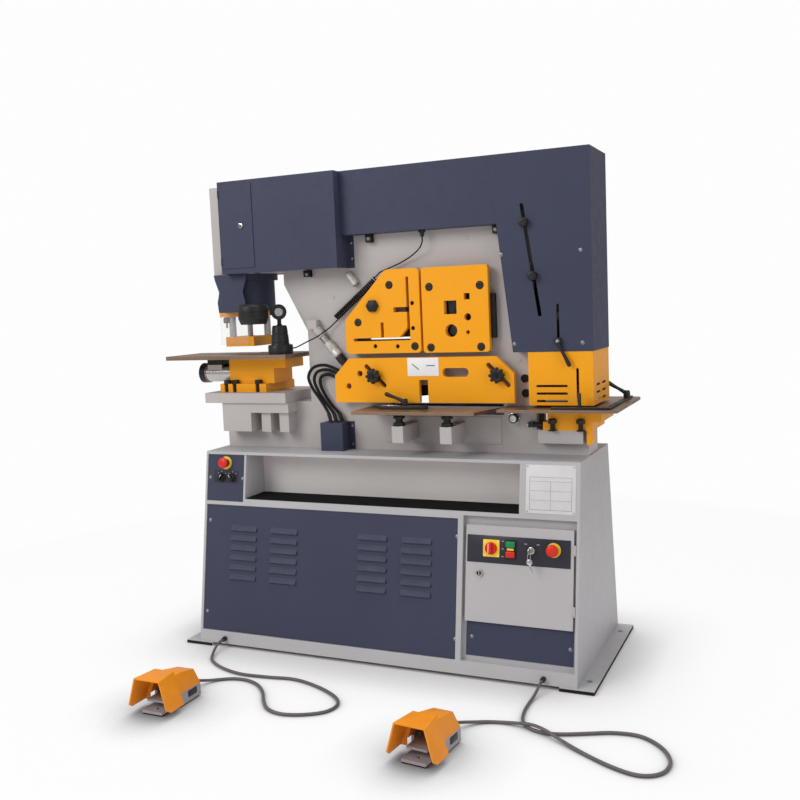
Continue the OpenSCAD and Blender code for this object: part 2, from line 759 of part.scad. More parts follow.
// Welded frame with the punch support, the shear table brackets and the notcher front plate
module machine_frame() {
  top_bar = 40;
  sill = 54;
  wall = 12;
  support_x0 = punch_x - 138;
  support_x1 = punch_x + 236;
  support_half = 145;
  pad_t = 3;
  g = weld_gap;
  in_half = gap_half - g;
  color(c_grey) {
    difference() {
      xz_plate(ff, -gap_half) difference() {
        frame_outline();
        angle_blade2d();
        rect2d(bar_blade[0], bar_blade[1], bar_blade[2], bar_blade[3]);
        rect2d(flat_x0 - 10, flat_win_z0, flat_x1 + 10, flat_win_z1);
      }
      ycyl([pivot_x, pivot_z], ff + 5, -gap_half + 1, pivot_d / 2 + run_fit);
      for (p = plate_bolts) ycyl(p, ff - 1, ff + bolt_deep + 1, bolt_r + bolt_fit);
      for (p = studs) ycyl(p, ff - 1, ff + bolt_deep + 1, stud_d / 2 + bolt_fit);
    }
    xz_plate(gap_half, -ff) difference() {
      frame_outline();
      rect2d(ang_blade_x0 - 4, ang_blade_low - 50, bar_blade[2] + 8, ang_slot_top + 12);
      rect2d(flat_x0 - 30, flat_win_z0, flat_x1 + 10, flat_win_z1);
      translate([pivot_x, pivot_z]) circle(r = pivot_d / 2 + run_fit);
    }
    box([neck_x + g, -in_half, frame_top - top_bar], [frame_x1, in_half, frame_top]);
    box([head_x0, -in_half, head_z], [neck_x, in_half, frame_top]);
    box([arm_x0, -in_half, base_h], [throat_x - g, in_half, arm_top]);
    box([throat_x + wall + g, -in_half, base_h], [frame_x1 - g, in_half, base_h + sill]);
    box([frame_x1, -in_half, base_h], [low_x1, in_half, low_top]);
    box([throat_x, -in_half, base_h], [throat_x + wall, in_half, throat_z1]);
    box([support_x0, -support_half, arm_top + g], [support_x1, support_half, support_top]);
    box([punch_x - 65, -support_half + 10, base_h + 70], [punch_x + 68 - g, ff - g, arm_top]);
    box([punch_x + 68, -support_half + 10, arm_top - 39], [punch_x + 240, ff - g, arm_top]);
    for (x = [107, 189]) box([punch_x + x, -support_half + 25, base_h + 68], [punch_x + x + 42,
      ff - g, arm_top - 39 - g]);
    for (x = [64, 250]) box([x, -215, base_h + 51], [x + 44, ff - pad_t - g, base_h + 112]);
    box([-33, ff - pad_t, base_h + 31], [429, ff - g, base_h + 130]);
    box([574, ff - 36, base_h + 44], [732, ff - g, low_top]);
  }
}

// Punch cover, open below, with a doorway in its front
module punch_cover() {
  t = cover_t;
  rim = 12;
  flange_w = 22;
  ear = 6;
  ear_r = 2.5;
  color(c_blue) {
    difference() {
      box([pcover_x0, -pc_half, head_z], [pcover_x1, pc_half, top_z]);
      box([pcover_x0 + t, -pc_half + t, head_z - 1], [pcover_x1 - t, pc_half - t, frame_top]);
      box([pcover_x0 - 1, -block_deep - 0.5, head_z - 1], [pcover_x0 + t + 1, block_deep + 0.5,
        block_top + 3]);
      box([pcover_x1 - t - 1, ff, head_z - 1], [pcover_x1 + 1, -ff, frame_top]);
      box([pdoor_x0 + rim, -pc_half - 1, pdoor_z0 + rim], [pdoor_x1 - rim, -pc_half + t + 1, pdoor_z1 - rim]);
    }
    for (m = [0, 1]) mirror([0, m, 0]) box([pcover_x1 - t, ff - t, head_z], [pcover_x1 + flange_w,
      ff, mid_z]);
    for (z = pdoor_hinge_z) {
      translate([pdoor_axis_x, pdoor_axis_y, z - 1]) cylinder(r = 2, h = hinge_tube);
      box([pdoor_axis_x - ear_r, pdoor_axis_y - ear_r, z - ear], [pdoor_axis_x + ear_r, -pc_half + 1,
        z - 0.3]);
    }
  }
}

// Small door on the punch cover
module punch_cover_door() {
  lock_x = pdoor_x1 - 52;
  lock_z = (pdoor_z0 + pdoor_z1) / 2;
  color(c_blue) difference() {
    union() {
      box([pdoor_x0, -pc_half - pdoor_gap - pdoor_t, pdoor_z0], [pdoor_x1, -pc_half - pdoor_gap, pdoor_z1]);
      for (z = pdoor_hinge_z) {
        translate([pdoor_axis_x, pdoor_axis_y, z]) cylinder(r = 3.4, h = hinge_tube);
        box([pdoor_axis_x, -pc_half - pdoor_gap - pdoor_t, z], [pdoor_x0 + 2, -pc_half - pdoor_gap,
          z + hinge_tube]);
      }
      ycyl([lock_x, lock_z], -pc_half - 8, -pc_half - 1, 9);
    }
    for (z = pdoor_hinge_z) translate([pdoor_axis_x, pdoor_axis_y, z - 1])
      cylinder(r = 2 + run_fit, h = hinge_tube + 2);
  }
}

// Middle cover over the frame
module mid_cover() {
  t = cover_t;
  x0 = pcover_x1;
  color(c_blue) {
    for (m = [0, 1]) mirror([0, m, 0]) {
      xz_plate(-sc_half, -sc_half + t) polygon([[x0, mid_z], [tall_edge(mid_z), mid_z],
        [tall_top_x, top_z], [x0, top_z]]);
      difference() {
        box([x0, -sc_half + t - eps, mid_z], [tall_edge(mid_z) - 1, ff, mid_z + t]);
        translate([lamp_gland[0], lamp_gland[1], mid_z - 1]) cylinder(r = 8.2, h = t + 2);
      }
    }
    box([x0, -sc_half, frame_top], [tall_top_x, sc_half, top_z]);
  }
}

// Tall cover over the main cylinder, with the stroke slot and the stop slot
module tall_cover() {
  t = cover_t;
  color(c_blue) {
    difference() {
      xz_plate(-sc_half, -sc_half + t) tall_panel2d();
      xz_plate(-sc_half - 1, -sc_half + t + 1) {
        translate((slot_top + slot_low) / 2) rotate(slot_turn) slot2d(slot_len, stroke_slot_w);
        translate([stop_x, (stop_z0 + stop_z1) / 2]) rotate(90) slot2d(stop_z1 - stop_z0, stop_slot_w);
      }
    }
    xz_plate(sc_half - t, sc_half) tall_panel2d();
    box([tall_top_x, -sc_half, frame_top], [tall_x1, sc_half, top_z]);
    box([tall_x1 - t, -sc_half, tall_z], [tall_x1, sc_half, top_z]);
    for (m = [0, 1]) mirror([0, m, 0]) xz_plate(-sc_half + t - eps, ff) polygon([[tall_edge(mid_z), mid_z],
      [tall_edge(tall_z), tall_z], [tall_edge(tall_z) + t, tall_z], [tall_edge(mid_z) + t, mid_z]]);
  }
}

module tall_panel2d() {
  polygon([[tall_top_x, top_z], [tall_x1, top_z], [tall_x1, tall_z], [tall_edge(tall_z), tall_z]]);
}

// Punch cylinder block
module punch_cylinder() {
  color(c_grey) difference() {
    box([punch_x - block_half, -block_deep, head_z], [punch_x + block_half, block_deep, block_top]);
    translate([punch_x, 0, head_z - 1]) cylinder(d = punch_bore, h = bore_top - head_z + 1);
  }
}

// Turned nose that guides the ram
module cylinder_nose() {
  color(c_blue) translate([punch_x, 0, 0]) difference() {
    union() {
      translate([0, 0, head_z - flange_t]) cylinder(r = flange_r, h = flange_t);
      translate([0, 0, nose_z0]) cylinder(r = nose_r, h = head_z - flange_t - nose_z0);
    }
    translate([0, 0, nose_z0 - 1]) cylinder(r = ram_d / 2 + run_fit, h = head_z - nose_z0 + 2);
  }
}

// Folded sheet guard in front of the nose
module ram_guard() {
  t = 2.5;
  half = [[76, 0], [72, -21], [55, -69], [65, -109], [61, -149]];
  right = [for (p = half) [punch_x + p[0], head_z + p[1]]];
  left = [for (i = [len(half) - 1 : -1 : 0]) [punch_x - half[i][0], head_z + half[i][1]]];
  color(c_blue) xz_plate(-flange_r - t, -flange_r) polygon(concat(right, left));
}

// Ram with piston, punch nut and punch
module punch_ram() {
  taper_h = 27;
  color(c_steel) translate([punch_x, 0, 0]) {
    translate([0, 0, piston_z0]) cylinder(r = punch_bore / 2 - run_fit, h = piston_h);
    translate([0, 0, nose_z0 - eps]) cylinder(d = ram_d, h = piston_z0 - nose_z0 + 2 * eps);
    translate([0, 0, nut_z0]) cylinder(r = nut_r, h = nut_h);
    translate([0, 0, nut_z0 - taper_h]) cylinder(r1 = punch_d / 2, r2 = holder_r, h = taper_h);
    translate([0, 0, punch_tip_z]) cylinder(d = punch_d, h = nut_z0 - taper_h - punch_tip_z + eps);
  }
}

// Stripper: bracket under the nose, two posts and the stripper plate
module stripper() {
  post_way = ram_d / 2 + post_r + 2;
  posts = [for (a = [226.7, 44.1]) post_way * [cos(a), sin(a)]];
  color(c_yellow) translate([punch_x, 0, 0]) {
    difference() {
      box([-90, -strip_front, nose_z0 - bracket_t], [90, 70, nose_z0]);
      translate([0, 0, nose_z0 - bracket_t - 1]) cylinder(r = ram_d / 2 + 5, h = bracket_t + 2);
    }
    difference() {
      box([-66, -strip_front, strip_z1 - strip_t], [66, 66, strip_z1]);
      translate([0, 0, strip_z1 - strip_t - 1]) cylinder(r = holder_r + 2, h = strip_t + 2);
    }
    for (p = posts) translate([p[0], p[1], strip_z1 - eps])
      cylinder(r = post_r, h = nose_z0 - bracket_t - strip_z1 + 2 * eps);
  }
}

// Clear guard plate hanging in front of the punch
module punch_guard() {
  t = 4;
  color(c_clear) box([punch_x - 86, -strip_front - t, strip_z1 - 30], [punch_x + 46, -strip_front,
    nose_z0 - 4]);
}

// Punch table with the way for the die
module punch_table() {
  x1 = punch_x + 267;
  color(c_steel) difference() {
    box([x1 - punch_table_len, -180, table_z0], [x1, 60, punch_z]);
    translate([punch_x, 0, table_z0 - 1]) cylinder(r = die_r + 5, h = punch_table_t + 2);
  }
}

// Die bolster on its base, with the die in it
module die_bolster() {
  web_x1 = punch_x + 152;
  slug_r = 18;
  color(c_yellow) {
    difference() {
      union() {
        box([bolster_x0, bolster_y0, flange_z0], [bolster_x1, bolster_y1, table_z0]);
        box([bolster_x0, bolster_y0, bolster_base_z1], [web_x1, bolster_y1, flange_z0 + eps]);
      }
      translate([punch_x, 0, punch_z - die_h]) cylinder(r = die_r, h = die_h);
      translate([punch_x, 0, bolster_base_z1 - 1]) cylinder(r = slug_r, h = table_z0 - bolster_base_z1);
    }
    difference() {
      box([punch_x - 90, -105, support_top], [punch_x + 126, 115, bolster_base_z1]);
      translate([punch_x, 0, support_top - 1]) cylinder(r = slug_r, h = bolster_base_z1 - support_top + 2);
      for (x = [-61, -22, 86]) box([punch_x + x - 9, -106, support_top - 1], [punch_x + x + 9, -84,
        bolster_base_z1 + 1]);
    }
  }
  color(c_steel) translate([punch_x, 0, punch_z - die_h]) difference() {
    cylinder(r = die_r, h = die_h);
    translate([0, 0, -1]) cylinder(r = punch_d / 2 + die_clear, h = die_h + 2);
  }
}

// Steel bar at the left of the bolster with its black clamp under the table
module table_bar() {
  x0 = punch_x - 228;
  y = -12;
  color(c_steel) {
    translate([x0, y, bar_z]) rotate([0, 90, 0]) cylinder(r = bar_r, h = bolster_x0 - x0);
    translate([x0 - 2, y, bar_z]) rotate([0, 90, 0]) cylinder(r = bar_r + 4, h = 30);
    box([x0 + 40, y - 34, bar_z], [x0 + 110, y + 34, table_z0]);
  }
}

// Round hole with its counterbore for one plate bolt
module bolt_way(p) {
  ycyl(p, sp_front - 1, sp_back + 1, bolt_r + bolt_fit);
  ycyl(p, sp_front - 1, sp_front + head_h + 1, cbore_r);
}

// Angle-shear plate
module angle_plate() {
  cut = 168;
  color(c_yellow) difference() {
    xz_plate(sp_front, sp_back) difference() {
      polygon([[ang_x0, ang_z0 + 10], [ang_x0 + 10, ang_z0], [ang_x1 - 10, ang_z0], [ang_x1, ang_z0 + 10],
        [ang_x1, ang_z1 - 10], [ang_x1 - 10, ang_z1], [ang_x0 + cut + 12, ang_z1], [ang_x0 + cut, ang_z1 - 4],
        [ang_x0 + 3, ang_z0 + 131], [ang_x0, ang_z0 + 120]]);
      angle_slot2d();
      polygon([[ang_slot_x - 42, ang_slot_z], [ang_slot_x, ang_slot_z], [ang_slot_x, ang_slot_z + 46]]);
      rect2d(ang_slot_x - 58, ang_slot_z + 98, ang_slot_x - angle_slot_w / 2 + eps, ang_slot_z + 116);
      rect2d(-12, ang_slot_z + angle_slot_w / 2 - eps, 0, ang_slot_z + 62);
    }
    for (i = [0 : 2]) bolt_way(plate_bolts[i]);
    for (p = [[118, ang_z0 + 181], [118, ang_z0 + 90], [-37, ang_z0 + 27], [54, ang_z0 + 25]])
      ycyl(p, sp_front - 1, sp_front + 12, 8);
  }
}

// Bar-shear plate
module bar_plate() {
  color(c_yellow) difference() {
    xz_plate(sp_front, sp_back) difference() {
      round_rect2d(bar_x0, ang_z0 - 1, bar_x1, ang_z1 - 1, 12);
      bar_holes2d();
    }
    for (i = [3 : 6]) bolt_way(plate_bolts[i]);
  }
}

// One plate bolt with its spacer sleeve
module plate_bolt(p) {
  ycyl(p, sp_front + 1, sp_front + head_h + 1, head_r);
  ycyl(p, sp_front + head_h, ff + bolt_deep, bolt_r);
  ycyl(p, sp_back, ff, bolt_r + 6);
}

// One stud with its bush behind the flat-shear plate
module stud(p) {
  ycyl(p, stud_end, ff + bolt_deep, stud_d / 2);
  ycyl(p, fp_back, ff, stud_d / 2 + 6);
}

// Bolts, studs, table posts, plugs, hold-down screws and cover brackets on the frame
module frame_bolts() {
  post_y = -195;
  color(c_black) {
    for (p = plate_bolts) plate_bolt(p);
    for (p = studs) stud(p);
    for (x = [86, 272]) translate([x, post_y, base_h + 112])
      cylinder(r = 13, h = shear_z - shear_table_t - base_h - 112);
    for (x = [-61, -22, 86]) translate([punch_x + x, -95, support_top]) cylinder(r = 7, h = 48);
    for (x = [20, 119]) translate([die_x0 + x, -die_half - 8, low_top]) cylinder(r = 8, h = 40);
    for (p = [[522, base_h + 269], [524, base_h + 217]]) ycyl(p, ff - 5, ff, 13);
    for (x = [-70, 425]) box([x, ff - 24, mid_z - 30], [x + 24, ff, mid_z]);
    box([-340, ff - 24, head_z - 26], [-314, ff, head_z]);
    box([bar_x1 + 1, sp_back - 6, base_h + 416], [bar_x1 + 15, ff, base_h + 573]);
    ycyl([-40, ang_z0 + 176], sp_front - 12, sp_front, 20);
  }
  color(c_steel) {
    box([-334, ff - 30, base_h + 466], [-292, ff, base_h + 500]);
    rod([-316, ff - 15, base_h + 484], [-172, ff - 15, base_h + 318], 14);
    rod([-150, ff - 10, base_h + 662], [-120, ff - 10, base_h + 625], 10);
  }
}

// Flat-shear hold-down plate that slides on its two studs
module flat_shear_plate() {
  cut = 64;
  color(c_yellow) xz_plate(fp_front, fp_back) difference() {
    polygon([[-210, flat_z0], [136, flat_z0], [136, flat_z0 + 84], [171, flat_z0 + 84], [171, flat_z0],
      [497, flat_z0], [497, flat_z1 - cut + 4], [433, flat_z1], [-148, flat_z1], [-210, flat_z1 - cut]]);
    for (p = studs) translate(p) rotate(-45) slot2d(stud_slot_len, stud_d + 2 * stud_slot_clear);
    translate([279, flat_z0 + 110]) slot2d(68, 32);
    for (p = [[-104, flat_z0 + 109], [-153, flat_z0 + 62]]) translate(p) circle(r = 11);
  }
}

// One star knob on its stud
module star_knob(p) {
  lobes = 8;
  hub = 0.62;
  y1 = fp_front - 1;
  y0 = y1 - star_t;
  color(c_black) difference() {
    union() {
      ycyl(p, y0, y1 - 8, star_knob_d * hub / 2);
      ycyl(p, y1 - 9, y1, 14);
      for (i = [0 : lobes - 1]) ycyl(p + (star_knob_d / 2 - 8)
        * [cos(i * 45), sin(i * 45)], y0 + 3, y1 - 9, 8);
    }
    ycyl(p, stud_end - 0.5, y1 + 1, stud_d / 2 + run_fit);
  }
}

module star_knob_left() {
  star_knob(studs[0]);
}

module star_knob_right() {
  star_knob(studs[1]);
}

gauge_x = 88;
gauge_y = -145;
gauge_slide = 50;

// Shear table with the slot for its gauge
module shear_table() {
  y0 = ff - shear_table_depth;
  color(c_steel) difference() {
    translate([0, 0, shear_z - shear_table_t]) linear_extrude(shear_table_t)
      polygon([[-85, y0], [388, y0], [438, ff], [-85, ff]]);
    translate([gauge_x, gauge_y, shear_z - shear_table_t - 1]) linear_extrude(shear_table_t + 2)
      slot2d(2 * gauge_slide + 6, 11);
  }
}

// Clamp lever: hub, arm and ball
module clamp_lever(at, tip, r) {
  translate(at) cylinder(r = r, h = 26);
  rod(at + [0, 0, 18], tip, 5);
  translate(tip) sphere(r = 9);
}

// Gauge bar of the shear table with its stud and clamp lever
module shear_gauge() {
  bar_h = 12;
  color(c_black) {
    box([gauge_x - 98, gauge_y - 15, shear_z], [gauge_x + 87, gauge_y + 15, shear_z + bar_h]);
    translate([gauge_x, gauge_y, shear_z - shear_table_t - 12]) cylinder(r = 5, h = shear_table_t + 14);
    translate([gauge_x, gauge_y, shear_z - shear_table_t - 8]) cylinder(r = 11, h = 7.5);
    clamp_lever([gauge_x, gauge_y, shear_z + bar_h - eps], [gauge_x - 68, gauge_y - 5, shear_z + 54], 11);
  }
}

// Fixed blades in the front frame plate
module fixed_blades() {
  color(c_steel) {
    xz_plate(ff, -gap_half) difference() {
      angle_blade2d();
      angle_slot2d();
    }
    xz_plate(ff, -gap_half) difference() {
      rect2d(bar_blade[0], bar_blade[1], bar_blade[2], bar_blade[3]);
      bar_holes2d();
    }
    box([flat_x0 - 10, ff, flat_win_z0], [flat_x1 + 10, -gap_half, low_blade_top]);
  }
}

// Shear beam that swings about the pivot pin
module shear_beam() {
  slack = 1.5;
  color(c_steel) difference() {
    xz_plate(-beam_half, beam_half) difference() {
      polygon([[pivot_x - 55, pivot_z - 60], [pivot_x - 55, pivot_z + 60], [-190, base_h + 720],
        [440, base_h + 720],
        [600, rod_pin_z + 70], [rod_x + 85, rod_pin_z + 70], [rod_x + 85, base_h + 339], [590, base_h + 339],
        [flat_x1 + 40, flat_edge(flat_x1 + 40) + flat_blade_h], [flat_x0 - 60,
          flat_edge(flat_x0 - 60) + flat_blade_h]]);
      angle_blade2d();
      rect2d(bar_blade[0], bar_blade[1], bar_blade[2], bar_blade[3]);
    }
    ycyl([pivot_x, pivot_z], -beam_half - 1, beam_half + 1, pivot_d / 2 + run_fit);
    box([rod_x - 48, -tongue_half - 2, rod_pin_z - 50], [rod_x + 48, tongue_half + 2, rod_pin_z + 90]);
    xz_plate(-beam_half - 1, beam_half + 1) translate([rod_x, rod_pin_z]) slot2d(10, 2 * (rod_pin_r + slack));
  }
}

// Moving blades and the notcher punch, bolted to the beam
module moving_blades() {
  y0 = -beam_half;
  y1 = y0 + blade_t;
  color(c_steel) {
    xz_plate(y0, y1) difference() {
      angle_blade2d();
      angle_slot2d();
    }
    xz_plate(y0, y1) difference() {
      rect2d(bar_blade[0], bar_blade[1], bar_blade[2], bar_blade[3]);
      bar_holes2d();
    }
    xz_plate(y0, y1) polygon([[flat_x0, flat_edge(flat_x0)], [flat_x1, flat_edge(flat_x1)],
      [flat_x1, flat_edge(flat_x1) + flat_blade_h], [flat_x0, flat_edge(flat_x0) + flat_blade_h]]);
    box([notch_x0, -notch_d / 2, notch_bottom], [notch_x0 + notch_w, notch_d / 2, base_h + 339]);
  }
}

// Pivot pin of the shear beam
module pivot_pin() {
  color(c_steel) ycyl([pivot_x, pivot_z], ff + 6, -ff, pivot_d / 2);
}

// Main cylinder hung from the frame end
module main_cylinder() {
  cap = 24;
  block_half_y = 56;
  color(c_steel) difference() {
    union() {
      translate([rod_x, 0, cyl_z0]) cylinder(r = cyl_r, h = cyl_z1 - cyl_z0);
      box([frame_x1, -block_half_y, cyl_z0 + 90], [rod_x, block_half_y, cyl_z1 - 60]);
    }
    translate([rod_x, 0, cyl_z0 + cap]) cylinder(r = cyl_r - 15, h = cyl_z1 - cyl_z0 - 2 * cap);
    translate([rod_x, 0, cyl_z0 - 1]) cylinder(r = rod_r + run_fit, h = cap + 2);
  }
}

// Rod of the main cylinder with its piston, tongue and pin
module cylinder_rod() {
  piston_z = cyl_z1 - 80;
  piston_t = 40;
  color(c_steel) {
    translate([rod_x, 0, piston_z]) cylinder(r = cyl_r - 15 - run_fit, h = piston_t);
    translate([rod_x, 0, rod_pin_z + 78]) cylinder(r = rod_r, h = piston_z - rod_pin_z - 78 + eps);
    box([rod_x - 30, -tongue_half, rod_pin_z - 30], [rod_x + 30, tongue_half, rod_pin_z + 79]);
    ycyl([rod_x, rod_pin_z], -beam_half + 1, beam_half - 1, rod_pin_r);
  }
}

// Notcher guard
module notch_guard() {
  t = cover_t;
  h = guard_half;
  slot_rows = [guard_z0 + 15, guard_z0 + 41, guard_z0 + 67];
  color(c_yellow) difference() {
    union() {
      box([guard_x0, -h, guard_z0], [guard_x1, -h + t, tall_z]);
      box([guard_x0, h - t, guard_z0], [guard_x1, h, tall_z]);
      box([guard_x1 - t, -h, guard_z0], [guard_x1, h, tall_z]);
      for (m = [0, 1]) mirror([0, m, 0]) box([guard_x0, -h, guard_z0], [guard_x0 + t, ff, tall_z]);
    }
    xz_plate(-h - 1, -h + t + 1) {
      for (z = slot_rows) translate([634, z]) slot2d(102, 8);
      translate([724, (slot_rows[0] + guard_z0 + 125) / 2]) rotate(90) slot2d(108, 9);
    }
    for (y = [-78, 10]) for (z = slot_rows) box([guard_x1 - t - 1, y, z - 4], [guard_x1 + 1, y + 58, z + 4]);
  }
}

ngauge_x = 835;
ngauge_y = 150;
ngauge_slide = 20;

// Notcher table, cut out for the frame, the die and the gauge stud
module notch_table() {
  c = 14;
  color(c_steel) difference() {
    translate([0, 0, ntable_z0]) linear_extrude(notch_table_t)
      polygon([[ntable_x0, ntable_y0], [ntable_x1 - c, ntable_y0],
      [ntable_x1, ntable_y0 + c], [ntable_x1, ntable_y1 - c], [ntable_x1 - c, ntable_y1],
        [ntable_x0, ntable_y1]]);
    box([ntable_x0 - 1, ff - 1, ntable_z0 - 1], [frame_x1 + 1, 1 - ff, notch_z + 1]);
    box([notch_hole_x0, -notch_hole_half, ntable_z0 - 1], [notch_hole_x1, notch_hole_half, notch_z + 1]);
    translate([ngauge_x, ngauge_y, ntable_z0 - 1]) linear_extrude(notch_table_t + 2)
      slot2d(2 * ngauge_slide + 6, 11);
  }
}

// Notcher die block, its bolster and the clamp strip
module notch_die() {
  color(c_yellow) {
    difference() {
      box([die_x0, -die_half, nbol_z1], [die_x1, die_half, ntable_z0]);
      box([notch_hole_x0, -notch_hole_half, nbol_z1 - 1], [notch_hole_x1, notch_hole_half, ntable_z0 + 1]);
    }
    difference() {
      box([die_x0 - 16, -die_half, low_top], [die_x1 - 32, die_half, nbol_z1]);
      box([notch_hole_x0, -notch_hole_half, low_top - 1], [notch_hole_x1, notch_hole_half, nbol_z1 + 1]);
    }
    box([low_x1, -die_half, base_h + 41], [low_x1 + 15, ff + 40, low_top]);
  }
}

// Notcher gauge, an angle-shaped fence with a stop finger, stud and clamp lever
module notch_gauge() {
  h = 7;
  y0 = -172;
  bar_w = 18;
  finger_x = 738;
  color(c_black) {
    box([640, y0, notch_z], [ngauge_x + bar_w / 2, y0 + bar_w, notch_z + h]);
    box([ngauge_x - bar_w / 2, y0, notch_z], [ngauge_x + bar_w / 2, ngauge_y + 70, notch_z + h]);
    box([finger_x - 5, y0 + 3, notch_z + h - eps], [finger_x + 5, y0 + 15, notch_z + 55]);
    translate([ngauge_x, ngauge_y, ntable_z0 - 12]) cylinder(r = 5, h = notch_table_t + 14);
    translate([ngauge_x, ngauge_y, ntable_z0 - 8]) cylinder(r = 11, h = 7.5);
    clamp_lever([ngauge_x, ngauge_y, notch_z + h - eps], [ngauge_x - 66, ngauge_y - 4, notch_z + 62], 12);
  }
}

// Stop of the notcher stroke with its clamp lever, sliding in the upright slot
module notch_stop() {
  y0 = -sc_half;
  gap = 0.3;
  color(c_black) {
    ycyl([stop_x, stop_z0], y0 - 16, y0 - gap, 13);
    ycyl([stop_x, stop_z0], y0 - 2, y0 + cover_t + 6, stop_slot_w / 2 - gap);
    ycyl([stop_x, stop_z0], y0 + cover_t + gap, y0 + cover_t + 6, 12);
    rod([stop_x, y0 - 9, stop_z0], [stop_x + 38, y0 - 14, stop_z0 - 80], 5);
    translate([stop_x + 38, y0 - 14, stop_z0 - 80]) sphere(r = 8);
  }
}

// One stroke knob with its stud and inner slider
module stroke_knob(p) {
  y0 = -sc_half;
  gap = 0.3;
  color(c_black) {
    ycyl(p, y0 - 24, y0 - 4, stroke_knob_d / 2);
    ycyl(p, y0 - 5, y0 - gap, stroke_knob_d / 2 - 6);
    ycyl(p, y0 - 2, y0 + cover_t + 6, stroke_slot_w / 2 - gap);
    ycyl(p, y0 + cover_t + gap, y0 + cover_t + 6, stroke_slot_w / 2 + 8);
  }
}

module stroke_knob_upper() {
  stroke_knob(knob_upper_at);
}

module stroke_knob_lower() {
  stroke_knob(knob_lower_at);
}

// Hose box on the base with the small manifold behind the flat-shear plate
module hose_box() {
  t = 3;
  color(c_blue) {
    difference() {
      box([hose_x0, hose_y0, base_h], [hose_x1, ff, hose_z1]);
      box([hose_x0 + t, hose_y0 + t, base_h - 1], [hose_x1 - t, ff - t, hose_z1 - t]);
    }
    box([hose_x1, ff - t, base_h], [hose_x1 + 20, ff, hose_z1]);
    box([-178, ff - 26, base_h + 258], [-140, ff, base_h + 312]);
  }
}

// Three hoses from the manifold to the hose box, each with a nipple at its lower end
module hoses() {
  color(c_black) for (r = hose_routes) {
    tube(r, 3, hose_r, 10, [0, 1, 0]);
    end = r[len(r) - 1];
    translate([end[0], end[1], hose_z1]) cylinder(r = hose_r + 2, h = 7);
  }
}

// Local axes of the lamp: z up, the arm along -x
module lamp_axes() {
  translate([lamp_x, lamp_y, 0]) rotate([0, 0, lamp_turn]) children();
}

// Lamp base with its magnet ring, body, neck and knuckle half
module lamp_base() {
  half = 18;
  color(c_black) lamp_axes() {
    translate([0, 0, punch_z]) cylinder(d = lamp_ring_d, h = lamp_ring_h);
    translate([0, 0, punch_z + lamp_ring_h - eps]) cylinder(r1 = 35, r2 = 27,
      h = lamp_body_z1 - punch_z - lamp_ring_h + eps);
    translate([0, half / 2, lamp_body_z1 - eps]) cylinder(r = 8,
      h = knuckle_z - lamp_body_z1 - knuckle_r + 6);
    ycyl([0, knuckle_z], 0.3, half, knuckle_r);
  }
}

// Lamp head on its knuckle half and arm
module lamp_head() {
  half = 18;
  head_z0 = knuckle_z - 43;
  rim_h = 22;
  color(c_black) lamp_axes() {
    ycyl([0, knuckle_z], -half, 0, knuckle_r);
    translate([-lamp_reach + lamp_head_d / 2 - 6, -half / 2, knuckle_z]) rotate([0, 90, 0])
      cylinder(r = 8, h = lamp_reach - lamp_head_d / 2 - 16);
    translate([-lamp_reach, -half / 2, head_z0]) {
      cylinder(r1 = lamp_head_d / 2 - 9, r2 = lamp_head_d / 2, h = rim_h);
      translate([0, 0, rim_h - eps]) cylinder(d = lamp_head_d, h = 44);
      translate([0, 0, rim_h + 43]) cylinder(r1 = lamp_head_d / 2, r2 = lamp_head_d / 2 - 12, h = 12);
    }
  }
}

// Straight stretches of the lamp cord
module lamp_cord() {
  color(c_black) {
    tube(lamp_route_a, 4, lamp_cord_r, 8, [0, 1, 0]);
    tube(lamp_route_b, 4, lamp_cord_r, 8, [0, 1, 0]);
  }
}

// Curled stretch of the lamp cord, one plain tube around the coil
module lamp_curl() {
  steps = 10;
  path = [for (i = [0 : steps]) curl_a + (curl_b - curl_a) * i / steps];
  color(c_black) tube(path, 1, curl_r, 12, [0, 1, 0]);
}

// Hydraulic tank, motor, pump and valve block in the base cabinet
module power_pack() {
  tank = [450, 300, 300];
  x0 = -600;
  z0 = foot_t + base_wall;
  motor_r = 90;
  axis_z = z0 + tank[2] + motor_r + 20;
  color(c_grey) {
    difference() {
      box([x0, -tank[1] / 2, z0], [x0 + tank[0], tank[1] / 2, z0 + tank[2]]);
      box([x0 + 4, -tank[1] / 2 + 4, z0 + 4], [x0 + tank[0] - 4, tank[1] / 2 - 4, z0 + tank[2] - 4]);
    }
    translate([x0 + 40, 0, axis_z]) rotate([0, 90, 0]) cylinder(r = motor_r, h = 250);
    box([x0 + 80, -60, z0 + tank[2]], [x0 + 250, 60, axis_z]);
    translate([x0 + 290, 0, axis_z]) rotate([0, 90, 0]) cylinder(r = 48, h = 90);
    box([x0 + 395, -60, z0 + tank[2]], [x0 + 445, 60, z0 + tank[2] + 90]);
  }
}

